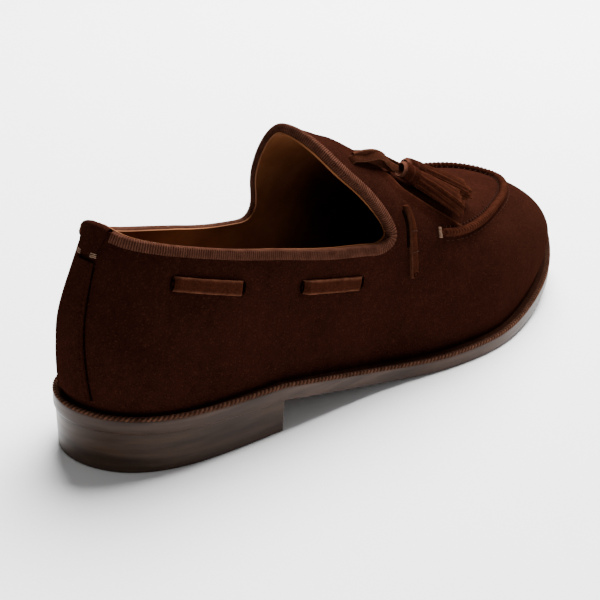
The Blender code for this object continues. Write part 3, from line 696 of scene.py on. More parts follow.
# The apron lies lower than the quarters, whose front edges run up over the instep
FACING_EDGE = (
    # distance to the outer side of the middle, place along, both in metres
    (0.0000, 0.1350),
    (0.0040, 0.1370),
    (0.0080, 0.1410),
    (0.0150, 0.1465),
    (0.0219, 0.1512),
    (0.0249, 0.1522),
    (0.0273, 0.1560),
    (0.0293, 0.1604),
    (0.0314, 0.1651),
    (0.0349, 0.1742),
    (0.0372, 0.1810),
)
INNER_SHARE = 0.88
STRAY_FIBRE = "#5a3526"
APRON_DROP = 0.0007
SLOT_DEPTH = 0.0008
SLOT_REACH = 0.0026
WAVE_HEIGHT = 0.00018
SUEDE = 0.0011
SUEDE_BACK = SUEDE + 0.0010
SKIN_FINENESS = 6


def suede_relief(points):
    """How far the suede stands out of the skin: sunk apron, lace slots and soft waves."""
    x, y, z = points.T
    away = np.where(y < 0, -y, y / INNER_SHARE)
    rows = np.array(FACING_EDGE)
    ahead = x - np.interp(away, rows[:, 0], rows[:, 1])
    seam = np.array(APRON_SEAM) * (LENGTH, BALL_WIDTH, INSTEP_HEIGHT)
    front = np.argmax(seam[:, 0])
    half = np.where(y < 0, np.interp(x, seam[:front, 0], -seam[:front, 1]),
                    np.interp(x, seam[:front - 1:-1, 0], seam[:front - 1:-1, 1]))
    within = smooth_step(half - np.abs(y), 0.0005, 0.0030) * (z > 0.05)
    sunk = smooth_step(ahead, -0.0003, 0.0005) * (1 - smooth_step(ahead, 0.004, 0.018))
    relief = -APRON_DROP * sunk * within
    for _, rear, rear_up, fore, fore_up in LACE_RUNS:
        for along, height in ((rear, rear_up), (fore, fore_up)):
            far = np.hypot(x - along * LENGTH, 0.8 * (z - height * INSTEP_HEIGHT)) / SLOT_REACH
            relief -= SLOT_DEPTH * np.exp(-far ** 4)
    wave = [noise.noise(Vector(point) * 38) + 0.5 * noise.noise(Vector(point) * 90) for point in points]
    return relief + WAVE_HEIGHT * np.array(wave)


def suede_finish(name, dark, light, roughness=0.95, wear_and_highlight_tint=None):
    """Nap of reversed calf: broad patches brushed lighter and darker, and a fine fibrous grain."""
    material, shader, place = new_finish(name, Roughness=roughness, Specular_IOR_Level=0.0,
                                         Sheen_Weight=0.018, Sheen_Roughness=0.5)
    shader.inputs["Sheen Tint"].default_value = linear("#a06a52")
    # patches about 20 mm across, mottling about 3 mm, fibre drawn at 0.5 mm so that it shows
    patches = add_node(material, "ShaderNodeTexNoise", {"Scale": 50, "Detail": 3}, [("Vector", place)])
    mottle = add_node(material, "ShaderNodeTexNoise", {"Scale": 330, "Detail": 3}, [("Vector", place)])
    fibre = add_node(material, "ShaderNodeTexNoise", {"Scale": 2000, "Detail": 2}, [("Vector", place)])
    blend = add_node(material, "ShaderNodeMath", {"operation": "MULTIPLY", 1: 0.35}, [(0, patches)])
    for share, pattern in ((0.30, mottle), (0.75, fibre)):
        blend = add_node(material, "ShaderNodeMath", {"operation": "MULTIPLY_ADD", 1: share},
                         [(0, pattern), (2, blend)])
    ramp = material.node_tree.nodes.new("ShaderNodeValToRGB")
    for end, position, tone in zip(ramp.color_ramp.elements, (0.50, 0.90), (dark, light)):
        end.position = position
        end.color = linear(tone)
    material.node_tree.links.new(blend, ramp.inputs[0])
    colour = ramp.outputs[0]
    # single paler fibres, each a spot under 1 mm wide that only just shows
    stray = add_node(material, "ShaderNodeTexNoise", {"Scale": 1500, "Detail": 0}, [("Vector", place)])
    stray = add_node(material, "ShaderNodeMath", {"operation": "GREATER_THAN", 1: 0.70}, [(0, stray)])
    stray = add_node(material, "ShaderNodeMath", {"operation": "MULTIPLY", 1: 0.10}, [(0, stray)])
    paler = [(stray, STRAY_FIBRE)]
    if wear_and_highlight_tint:
        # edges and ridges painted pale by the wear attribute, broken up by the mottling: rubbing on the laces
        # and tassels, painted highlight on the ribbon's ribs, the quarters' facing crest, the welt's rope and
        # the apron roll
        worn = add_node(material, "ShaderNodeAttribute", {"attribute_name": "wear"})
        share = add_node(material, "ShaderNodeMath", {"operation": "MULTIPLY_ADD", 1: 1.2, 2: -0.1},
                         [(0, mottle)])
        share = add_node(material, "ShaderNodeMath", {"operation": "MULTIPLY", "use_clamp": True},
                         [(0, share), (1, worn)])
        paler.append((share, wear_and_highlight_tint))
    for share, tint in paler:
        mix = material.node_tree.nodes.new("ShaderNodeMix")
        mix.data_type = "RGBA"
        mix.inputs[7].default_value = linear(tint)
        material.node_tree.links.new(share, mix.inputs[0])
        material.node_tree.links.new(colour, mix.inputs[6])
        colour = mix.outputs[2]
    material.node_tree.links.new(colour, shader.inputs["Base Color"])
    bump = add_node(material, "ShaderNodeBump", {"Strength": 0.35, "Distance": 0.0004}, [("Height", fibre)])
    material.node_tree.links.new(bump, shader.inputs["Normal"])
    return material


suede = suede_finish("reversed_calf_suede", "#170805", "#27110b")
skin = Skin(SKIN_FINENESS)
skin_parts = outer_skin(SKIN_FINENESS, WALL_ROWS * SKIN_FINENESS)
suede_shell = shell(*skin_parts, skin.normals, -suede_relief(skin_parts[0]), SUEDE_BACK)
make_piece("upper_suede", *suede_shell, suede, ["upper"], "brown_suede")


def on_top(x, y):
    """Place and normal on the skin straight under a point."""
    return skin.frame(skin.tree.ray_cast(Vector((x + 1e-5, y + 1e-5, 0.2)), Vector((0, 0, -1))))


FACING_FOLD = (
    # distance back from the edge, height over the skin
    (-0.00005, -0.00090),
    (-0.00010, 0.00015),
    (0.00010, 0.00050),
    (0.00050, 0.00064),
    (0.00150, 0.00058),
    (0.00350, 0.00036),
    (0.00600, 0.00010),
    (0.00800, -0.00030),
    (0.00400, -0.00090),
)
edge_rows = [(along, -away) for away, along in FACING_EDGE[::-1]]
edge_rows += [(along, away * INNER_SHARE) for away, along in FACING_EDGE[1:]]
facing_path = smooth_path([on_top(x, y)[0] for x, y in edge_rows], 260)
facing_suede = suede_finish("turned_suede_edge", "#160704", "#260f09", wear_and_highlight_tint="#4e2b1c")
facing_rings = []
for point, way in zip(facing_path, tangents(facing_path)):
    place, normal = skin.nearest(point)
    side = sideways(normal, way)
    ring = []
    for back_by, rise in FACING_FOLD:
        foot, up = skin.nearest(place + side * back_by)
        ring.append(foot + up * rise)
    facing_rings.append(ring)
# the crest is painted pale, partly a rubbed edge and partly a painted highlight where the raised edge catches
# the light
facing_wear_and_highlight = [[0, 0.5, 1, 0.8, 0.1, 0, 0, 0, 0]] * len(facing_rings)
make_piece("quarter_facing_edge", *loft(facing_rings, False), facing_suede, slot="brown_suede",
           wear=facing_wear_and_highlight)


# Lining
# Tan calf inside the quarters and vamp. Its cut edge stands just inside the collar ribbon and
# shows as a pale line.
lining, lining_shader, place = new_finish("tan_calf_lining", Roughness=0.80, Specular_IOR_Level=0.05)
grain = add_node(lining, "ShaderNodeTexVoronoi", {"Scale": 900, "feature": "SMOOTH_F1"}, [("Vector", place)])
stain = add_node(lining, "ShaderNodeTexNoise", {"Scale": 30, "Detail": 4}, [("Vector", place)])
tone = lining.node_tree.nodes.new("ShaderNodeValToRGB")
for end, position, colour in zip(tone.color_ramp.elements, (0.3, 0.7), ("#4e2a14", "#7c4e30")):
    end.position = position
    end.color = linear(colour)
lining.node_tree.links.new(stain, tone.inputs[0])
lining.node_tree.links.new(tone.outputs[0], lining_shader.inputs["Base Color"])
bump = add_node(lining, "ShaderNodeBump", {"Strength": 0.25, "Distance": 0.0002}, [("Height", grain)])
lining.node_tree.links.new(bump, lining_shader.inputs["Normal"])
LINING_OUT = 0.0028
LINING_IN = 0.0036
LINING_LIFT = 0.0010
lining_shell = shell(*skin_parts, skin.normals, LINING_OUT, LINING_IN, lift=LINING_LIFT)
make_piece("lining", *lining_shell, lining, slot="tan_lining_leather")


# Collar ribbon
# Ribbed ribbon about 3 mm wide on show, folded over the collar's edge from one side of the heel
# tab to the other and sewn down.
TAB_HALF = 0.0065
RIBBON = 0.0006
RIBBON_LEAF = 0.0031
RIB_PITCH = 0.0009
RIB_DEPTH = 0.00016
STEPS_PER_RIB = 6


def ribbon_profile(thick, leaf, depth):
    """Section of a ribbon round the suede's edge: (out of the skin, down from the rim)."""
    out, inner = GAP + thick, -depth - thick
    middle, reach = (out + inner) / 2, (out - inner) / 2
    drops = np.linspace(leaf, 0, 5)[:-1]
    crest = [(middle + reach * cos(angle), -(GAP + thick) * sin(angle)) for angle in np.linspace(0, pi, 9)]
    profile = [(out * (1.0 if i else 0.75), drop) for i, drop in enumerate(drops)] + crest
    inside = [(inner, 0.001), (inner + thick, 0.001), (inner + thick, 0)]
    return profile + inside + [(GAP * 0.5, 0), (GAP * 0.3, leaf)]


def fold_ring(rim, below, along_rim, profile):
    """One section of a folded ribbon, square to the rim, its leaves following the wall down."""
    place, normal = skin.nearest(rim)
    across = np.cross(normal, along_rim)
    down = across / np.linalg.norm(across) * np.sign(np.dot(across, below - place))
    ring = []
    for out, drop in profile:
        if drop > 0:
            foot, up = skin.nearest(place + down * drop)
            ring.append(foot + up * out)
        else:
            ring.append(place + normal * out + down * drop)
    return ring


def heel_turn(across, climb):
    """Turn of a place a distance to the outer side of the heel's middle."""
    step = upper_point(SMALL_TURN, climb) - upper_point(-SMALL_TURN, climb)
    return across * 2 * SMALL_TURN / np.linalg.norm(step)


def heel_ring(across, profile):
    """Section of a folded piece a distance to the outer side of the heel's middle."""
    turn = heel_turn(across, OUTER_COLLAR[0][1])
    turns, climbs = collar(np.linspace(0, 0.2, 41), across < 0)
    climb = np.interp(abs(turn), folded(turns), climbs)
    along_rim = upper_point(turn + SMALL_TURN, climb) - upper_point(turn - SMALL_TURN, climb)
    below = upper_point(turn, climb * BELOW_RIM)
    return fold_ring(upper_point(turn, climb), below, along_rim, profile)


def rim_stations(pitch):
    """Rim point, a point below it and the way along the rim, evenly spaced round the collar."""
    clear = heel_turn(TAB_HALF + 1.5 * GAP, OUTER_COLLAR[0][1])
    sides = []
    for inner in (False, True):
        *plan, throat = column_plan(inner, SKIN_FINENESS)
        columns = [column for column in list(zip(*plan))[:throat + 1] if column[1] > clear]
        rim = np.array([column_point(*column, 1, inner) for column in columns])
        below = np.array([column_point(*column, BELOW_RIM, inner) for column in columns])
        sides.append((rim, below))
    rim = np.vstack([sides[0][0], sides[1][0][-2::-1]])
    below = np.vstack([sides[0][1], sides[1][1][-2::-1]])
    way = distances(rim)
    at = np.linspace(0, way[-1], ceil(way[-1] / pitch))
    rim, below = (points_at(at, way, points) for points in (rim, below))
    return rim, below, np.gradient(rim, axis=0), at


ribbon = suede_finish("ribbed_cotton_ribbon", "#26130d", "#3a2119", 0.85, wear_and_highlight_tint="#5c3b2e")
rims, belows, alongs, ways = rim_stations(RIB_PITCH / STEPS_PER_RIB)
ribbon_rings, ribbon_rib_highlight = [], []
down = belows[0] - rims[0]
for rim, along_rim, at in zip(rims, alongs, ways):
    # the leaf's way down turns steadily from one rib to the next, also round the tight corners
    across = np.cross(skin.nearest(rim)[1], along_rim)
    down = across / np.linalg.norm(across) * np.sign(np.dot(across, down))
    below = rim + down * 0.002
    swell = cos(2 * pi * at / RIB_PITCH)
    profile = ribbon_profile(RIBBON + RIB_DEPTH * swell, RIBBON_LEAF, SUEDE_BACK)
    ribbon_rings.append(fold_ring(rim, below, along_rim, profile))
    # each rib's crest is painted paler than its trough, a painted highlight that makes the fine ribs show
    ribbon_rib_highlight.append([0.5 + 0.5 * swell] * len(profile))
make_piece("collar_ribbon", *loft(ribbon_rings, False), ribbon, ["collar_binding"], "ribbed_ribbon",
           ribbon_rib_highlight)


# Heel tab and back stay
# A suede patch folded over the collar at the heel, and a suede strip under it that covers the
# back seam down to the welt. The strip is sewn close to its edges, and the tab ends in a bar tack at each
# lower corner.
TAB = 0.0010
TAB_LEAF = 0.0110
STAY = 0.0010
STAY_TOP_HALF = 0.0050
STAY_FOOT_HALF = 0.0100


def laid_band(path, half, height, edge=0.5, columns=9, lift=GAP, ends=None):
    """Strip laid on the skin along a path, with its height across and along set by shares."""
    half = np.broadcast_to(half, len(path))
    ends = np.ones(len(path)) if ends is None else ends
    rings = []
    for point, way, reach, end in zip(path, tangents(path), half, ends):
        place, normal = skin.nearest(point)
        side = sideways(normal, way)
        low, high = [], []
        for across in np.linspace(-1, 1, columns):
            foot, up = skin.nearest(place + side * across * reach)
            rise = height * (edge + (1 - edge) * (1 - across ** 4))
            low.append(foot + up * (end - 1) * height * 1.6)
            high.append(foot + up * (lift + rise * end + (end - 1) * 0.0007))
        rings.append(low + high[::-1])
    return rings


THREAD_SHAPE = (
    # share along a stitch, thickness, how far it sinks in, both as shares of its radius
    (-1, 0.45, 1.2),
    (-0.7, 0.9, 0.3),
    (0, 1.0, 0.0),
    (0.7, 0.9, 0.3),
    (1, 0.45, 1.2),
)


def add_loft(vertices, faces, rings):
    """Adds one more lofted solid to the vertices and faces of a piece."""
    points, sides = loft(rings, False)
    faces += [tuple(i + len(vertices) for i in face) for face in sides]
    vertices += points


def sewn_thread(name, stations, normals, pitch, length, radius, finish, lean=0.0):
    """A row of stitches, each a short raised thread along the row or leaning across it."""
    stations = np.array(stations)
    normals = np.array(normals)
    way = distances(stations)
    at = np.arange(pitch / 2, way[-1], pitch)
    centres = points_at(at, way, stations)
    ups = points_at(at, way, normals)
    before = points_at(at - pitch / 4, way, stations)
    after = points_at(at + pitch / 4, way, stations)
    vertices, faces = [], []
    for centre, up, along in zip(centres, ups, after - before):
        up = up / np.linalg.norm(up)
        along = along / np.linalg.norm(along)
        side = np.cross(up, along)
        along = along * cos(lean) + side * sin(lean)
        side = np.cross(up, along)
        rings = []
        for share, fat, sink in THREAD_SHAPE:
            middle = centre + along * share * length / 2 + up * radius * (0.5 - sink)
            rings.append([middle + radius * fat * (side * cos(angle) + up * sin(angle))
                          for angle in circle(6)])
        add_loft(vertices, faces, rings)
    return make_piece(name, vertices, faces, finish)


def thread_finish(name, dark, light):
    """Matt thread, mottled finely between a dark and a light tone."""
    material, shader, place = new_finish(name, Roughness=0.9, Specular_IOR_Level=0.03)
    ply = add_node(material, "ShaderNodeTexNoise", {"Scale": 1500}, [("Vector", place)])
    ramp = material.node_tree.nodes.new("ShaderNodeValToRGB")
    for end, tone in zip(ramp.color_ramp.elements, (dark, light)):
        end.color = linear(tone)
    material.node_tree.links.new(ply, ramp.inputs[0])
    material.node_tree.links.new(ramp.outputs[0], shader.inputs["Base Color"])
    return material


brown_thread = thread_finish("brown_polyester_thread", "#1c0e09", "#3c241b")
cream_thread = thread_finish("cream_linen_thread", "#4c352a", "#8a6f5c")
rim_climb = OUTER_COLLAR[0][1]
tab_profile = ribbon_profile(TAB, TAB_LEAF, WALL + GAP)
tab_rings = [heel_ring(across, tab_profile) for across in np.linspace(-TAB_HALF, TAB_HALF, 21)]
make_piece("heel_tab_suede", *loft(tab_rings, False), suede, ["heel_tab"], "brown_suede")
stay_column = upper_point(0, np.linspace(0.03, rim_climb, 60))
stay_clear = np.linalg.norm(stay_column - stay_column[-1], axis=1) > TAB_LEAF + 2 * GAP
stay_path = smooth_path(stay_column[stay_clear], 40)
stay_half = np.linspace(STAY_FOOT_HALF, STAY_TOP_HALF, 40)
stay_rings = laid_band(stay_path, stay_half, STAY, edge=0.85, columns=13)
make_piece("back_stay_suede", *loft(stay_rings, False), suede, ["back_stay"], "brown_suede")
# near-black suede standing for painted shade: along the stay's edges, in the lace slots, beside each riser
# and in its hole
painted_shade_finish = suede_finish("painted_shade_for_grooves_and_slots", "#050201", "#0b0504")
for hand, side_name in ((-1, "outer"), (1, "inner")):
    row, groove = [], []
    for point, half in zip(stay_path, stay_half):
        place, normal = skin.nearest(point)
        sewn, sewn_up = skin.nearest(place + np.array((0, hand * (half - 0.0013), 0)))
        row.append((sewn + sewn_up * (GAP + STAY * 0.95), sewn_up))
        groove.append(skin.nearest(place + np.array((0, hand * (half + 0.0003), 0)))[0])
    sewn_thread("back_stay_stitches_" + side_name, *zip(*row), pitch=0.0022, length=0.0016,
                radius=0.00018, finish=suede)
    # a near-black strip of painted shade along each edge of the stay, where the step throws a shadow
    rings = laid_band(np.array(groove), 0.00035, 0.0002, edge=0.9, columns=3, lift=0.00015)
    make_piece("back_stay_edge_shade_" + side_name, *loft(rings, False), painted_shade_finish)


def bar_tack(name, place, way, count, long, pitch):
    """A dense row of short threads laid side by side, which locks the end of a seam."""
    place, normal = skin.nearest(place)
    way = np.asarray(way, float) - normal * np.dot(way, normal)
    way /= np.linalg.norm(way)
    stations = [place + way * pitch * (i - count / 2) + normal * 0.0011 for i in range(count + 1)]
    sewn_thread(name, stations, [normal] * len(stations), pitch, long, 0.00022, cream_thread, lean=pi / 2)


for corner, side_name in ((tab_rings[0][0], "inner"), (tab_rings[-1][0], "outer")):
    place, normal = skin.nearest(corner)
    place = place + normal * 0.0004 + np.array((0, 0, 0.0012))
    bar_tack("tab_bar_tack_" + side_name, place, (0, 0, 1), count=3, long=0.0030, pitch=0.0006)


# Sole
# A welt sewn all round, a leather outsole under it and a stacked leather heel, their edges
# stained together and burnished to a grey-brown shine. The stitch marks stand up like a rope.
SOLE_BEVEL = 0.0006
HEEL_TAPER = 0.0012
ROPE_PITCH = 0.0020
SOLE_STATIONS = 480


def burnished_finish(name, dark, light, roughness):
    """Waxed leather edge: long pale streaks of wax in a dark stain, under a soft shine."""
    material, shader, place = new_finish(name, Roughness=roughness, Specular_IOR_Level=0.12, Coat_Weight=0.05,
                                         Coat_Roughness=0.22)
    stretched = add_node(material, "ShaderNodeMapping", {"Scale": (25, 25, 220)}, [("Vector", place)])
    streak = add_node(material, "ShaderNodeTexNoise", {"Scale": 1, "Detail": 5}, [("Vector", stretched)])
    grain = add_node(material, "ShaderNodeTexNoise", {"Scale": 500, "Detail": 3}, [("Vector", place)])
    ramp = material.node_tree.nodes.new("ShaderNodeValToRGB")
    for end, position, tone in zip(ramp.color_ramp.elements, (0.35, 0.7), (dark, light)):
        end.position = position
        end.color = linear(tone)
    material.node_tree.links.new(streak, ramp.inputs[0])
    material.node_tree.links.new(ramp.outputs[0], shader.inputs["Base Color"])
    bump = add_node(material, "ShaderNodeBump", {"Strength": 0.12, "Distance": 0.0002}, [("Height", grain)])
    material.node_tree.links.new(bump, shader.inputs["Normal"])
    return material


edge_wax = burnished_finish("burnished_sole_edge", "#2a1c15", "#45332a", 0.38)
# the welt's dark tone is its stain darkened further as painted shade on its flat part
welt_hide = suede_finish("stained_welt_leather_painted_shade", "#190d09", "#2c1912", 0.60, wear_and_highlight_tint="#6a4939")


def level_ring(turns, inset, height):
    flat = inset_outline(turns, inset + 0 * turns)
    return np.column_stack([flat, height(flat[:, 0])])


def straight_caps(count, first):
    """Faces straight across a ring of points. An odd ring ends in a straight edge."""
    half = count // 2
    faces = [(first, first + 1, first + count - 1)]
    for i in range(1, half if count % 2 else half - 1):
        faces.append((first + i, first + i + 1, first + count - i - 1, first + count - i))
    if count % 2 == 0:
        faces.append((first + half - 1, first + half, first + half + 1))
    return faces


def plate(rings):
    count = len(rings[0])
    vertices, faces = loft(rings, False)
    return vertices, faces[:-2] + straight_caps(count, 0) + straight_caps(count, (len(rings) - 1) * count)


turns = np.linspace(0, 2, SOLE_STATIONS, endpoint=False)
sole_edge = (
    # inset, height above the underside
    (0.0006, 0.0000),
    (0.0002, 0.0003),
    (0.0000, 0.0009),
    (0.0000, 0.0030),
    (0.0002, 0.0038),
    (0.0000, 0.0052),
    (0.0003, 0.0058),
)
sole_rings = [level_ring(turns, inset, lambda x, h=height: sole_height(x) + h) for inset, height in sole_edge]
make_piece("leather_outsole", *plate(sole_rings), edge_wax, ["outsole"], "edge_dyed_sole_leather")

welt_turns = np.linspace(0, 2, 2000, endpoint=False)
welt_line = outline(welt_turns)
welt_way = distances(welt_line)
welt_length = welt_way[-1] + np.linalg.norm(welt_line[0] - welt_line[-1])
rope_count = round(welt_length / ROPE_PITCH)
welt_phase = 2 * pi * rope_count * welt_way / welt_length
shown = welt_shown(welt_turns)
BEAD = 0.00085
BEAD_RISE = 0.0017
BEAD_TWIST = 0.16
bead_angles = np.linspace(-0.45 * pi, 0.92 * pi, 13)
columns, welt_rope_highlight = [], []
for angle in bead_angles:
    # two strands twisted together, so the swelling winds round the bead as it runs along the edge, each swell
    # painted paler as a painted highlight
    twist = np.cos(2 * angle - welt_phase)
    reach = BEAD * (1 + BEAD_TWIST * twist)
    flat = inset_outline(welt_turns, BEAD - reach * cos(angle))
    columns.append(np.column_stack([flat, bed_height(flat[:, 0]) + BEAD_RISE + reach * sin(angle)]))
    welt_rope_highlight.append(0.5 + 0.5 * twist)
for share, height in ((0.55, 0.70), (0.75, 0.68), (1.00, 0.72), (1.00, 0.00), (0.20, 0.00)):
    flat = inset_outline(welt_turns, shown * share)
    columns.append(np.column_stack([flat, bed_height(flat[:, 0]) + WELT * height]))
    welt_rope_highlight.append(0 * welt_phase)
welt_rings = [[column[i] for column in columns] for i in range(len(welt_turns))]
welt_rope_highlight = np.array(welt_rope_highlight).T
make_piece("stitched_welt", *loft(welt_rings, True), welt_hide, ["welt"], "stitched_welt_leather", welt_rope_highlight)
stitch_line = inset_outline(welt_turns, BEAD + 0 * welt_turns)
stitch_points = np.column_stack([stitch_line, bed_height(stitch_line[:, 0]) + BEAD_RISE + BEAD * 0.95])
sewn_thread("welt_stitches", stitch_points, np.tile((0, 0, 1.0), (len(stitch_points), 1)),
            pitch=welt_length / rope_count, length=0.0014, radius=0.00024, finish=brown_thread, lean=0.55)

heel_half = np.linspace(0, turn_at(BREAST_PLACE / LENGTH), 90)
heel_turns = np.concatenate([heel_half, 2 - heel_half[:0:-1]])
LIFTS = 4


def heel_ring_at(share):
    """Ring of the heel at a share of its height, with a fine groove between the lifts."""
    groove = 0.00010 * max(0, 1 - 14 * abs(share * LIFTS - round(share * LIFTS)) / LIFTS)
    inset = HEEL_TAPER + (SOLE_BEVEL - HEEL_TAPER) * share + groove + (0.0006 if share == 0 else 0)
    flat = inset_outline(heel_turns, inset + 0 * heel_turns)
    flat[:, 0] = np.minimum(flat[:, 0], BREAST_PLACE)
    return np.column_stack([flat, sole_height(flat[:, 0]) * share])


heel_shares = [0, 0.03]
for i in range(1, LIFTS):
    heel_shares += [i / LIFTS - 0.02, i / LIFTS, i / LIFTS + 0.02]
heel_shares.append(1)
heel_wax = burnished_finish("burnished_heel_stack", "#241811", "#3d2d23", 0.32)
make_piece("stacked_heel", *plate([heel_ring_at(share) for share in heel_shares]), heel_wax, ["heel_stack"],
           "burnished_heel_leather")
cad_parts["insole"].material_slots[0].material = lining


# Apron seam
# The hand-sewn roll round the apron: the two suede edges stand up together and are whipped
# with thread, which puckers the roll into small folds.
SEAM_HALF = 0.0019
SEAM_HEIGHT = 0.0024
PUCKER = 0.0021

roll_suede = suede_finish("brushed_suede_roll", "#190905", "#2c130b", wear_and_highlight_tint="#4e2a1d")
seam_points = np.array(APRON_SEAM) * (LENGTH, BALL_WIDTH, INSTEP_HEIGHT)
SEAM_RINGS = 760
seam_path = smooth_path(seam_points, SEAM_RINGS)
seam_near = np.minimum(np.arange(SEAM_RINGS), np.arange(SEAM_RINGS - 1, -1, -1))
seam_ends = np.minimum(1, seam_near / 10 + 0.35)
seam_way = distances(seam_path)
seam_rings, seam_wear_and_highlight = [], []
for point, way, end, at in zip(seam_path, tangents(seam_path), seam_ends, seam_way):
    place, normal = skin.nearest(point)
    side = sideways(normal, way)
    ring, wear = [], []
    for angle in np.linspace(-0.25, pi + 0.25, 15):
        swell = cos(2 * pi * at / PUCKER + 1.6 * cos(angle))
        fold = (1 + 0.075 * swell) * end
        ring.append(place + side * SEAM_HALF * 0.98 * cos(angle) * fold
                    + normal * (GAP + SEAM_HEIGHT * 0.98 * sin(angle) * fold))
        # the top of the roll and the crests of its folds are painted paler: rubbing along the ridge, and a
        # painted highlight where light falls on them
        wear.append(max(0, sin(angle)) * (0.35 + 0.35 * swell))
    seam_rings.append(ring)
    seam_wear_and_highlight.append(wear)
make_piece("apron_roll", *loft(seam_rings, False), roll_suede, ["apron_seam"], "brown_suede", seam_wear_and_highlight)


def beside_seam(offset, height):
    """Stations and normals along the seam, a distance to its inner side."""
    stations, normals = [], []
    for point, way in zip(seam_path[10:-10:3], tangents(seam_path)[10:-10:3]):
        place, normal = skin.nearest(point)
        place, normal = skin.nearest(place + sideways(normal, way) * offset)
        stations.append(place + normal * height)
        normals.append(normal)
    return stations, normals


sewn_thread("apron_whip_stitches", *beside_seam(0.0023, 0.0003), pitch=0.0028, length=0.0019,
            radius=0.00021, finish=brown_thread, lean=1.1)
sewn_thread("vamp_stitches", *beside_seam(-0.0034, 0.0000), pitch=0.0034, length=0.0018,
            radius=0.00016, finish=brown_thread)
for end, step, hand in ((seam_path[0], seam_path[20] - seam_path[0], "outer"),
                        (seam_path[-1], seam_path[-20] - seam_path[-1], "inner")):
    _, normal = skin.nearest(end)
    bar_tack("roll_bar_tack_" + hand, end - step * 0.25, np.cross(normal, step), count=8,
             long=0.0020, pitch=0.0006)


# Side lace
# A flat leather lace runs through slots in the quarters. Two runs of it show on each side, and
# one more climbs beside the throat to the knot. Its edges are worn pale.
LACE = 0.0017
LACE_HALF = 0.0027
RISER_HALF = 0.0020
HOLE_RADIUS = 0.0011
RISER = (
    # along, up
    (0.489, 0.692),
    (0.490, 0.661),
    (0.490, 0.624),
    (0.487, 0.575),
    (0.486, 0.513),
    (0.487, 0.445),
    (0.488, 0.415),
)
lace_hide = suede_finish("worn_lace_leather", "#210e08", "#36190f", 0.85, wear_and_highlight_tint="#66402f")


def side_path(points, inner, count):
    """Smooth path on the upper through places given by their shares along and up."""
    return smooth_path([skin.from_side(along, up, inner) for along, up in points], count)


def rough_ends(count, reach):
    """Height shares along a lace whose two ends dive into their slots."""
    near = np.minimum(np.arange(count), np.arange(count - 1, -1, -1)) / reach
    return smooth_step(near, 0, 1)


def slot_patch(name, place, way, long, wide):
    """Painted shade in a slot: a shallow oval dish on the suede in near-black."""
    place, normal = skin.nearest(place)
    way = way - normal * np.dot(way, normal)
    way /= np.linalg.norm(way)
    side = np.cross(normal, way)
    rings = []
    for size, rise in ((1.0, -0.0004), (1.0, 0.0001), (0.8, 0.0003), (0.5, -0.0002), (0.08, -0.0006)):
        rings.append([place + size * (way * long * cos(angle) + side * wide * sin(angle)) + normal * rise
                      for angle in circle(20)])
    make_piece(name, *loft(rings, False), painted_shade_finish)


def edge_wear(rings, columns, strong=1.0):
    """Wear of a laid band: its two long edges and its ends rubbed pale."""
    across = np.abs(np.linspace(-1, 1, columns))
    top = smooth_step(across, 0.68, 1.0)
    wear = np.tile(np.append(0.6 * top, top[::-1]), (len(rings), 1))
    return strong * wear


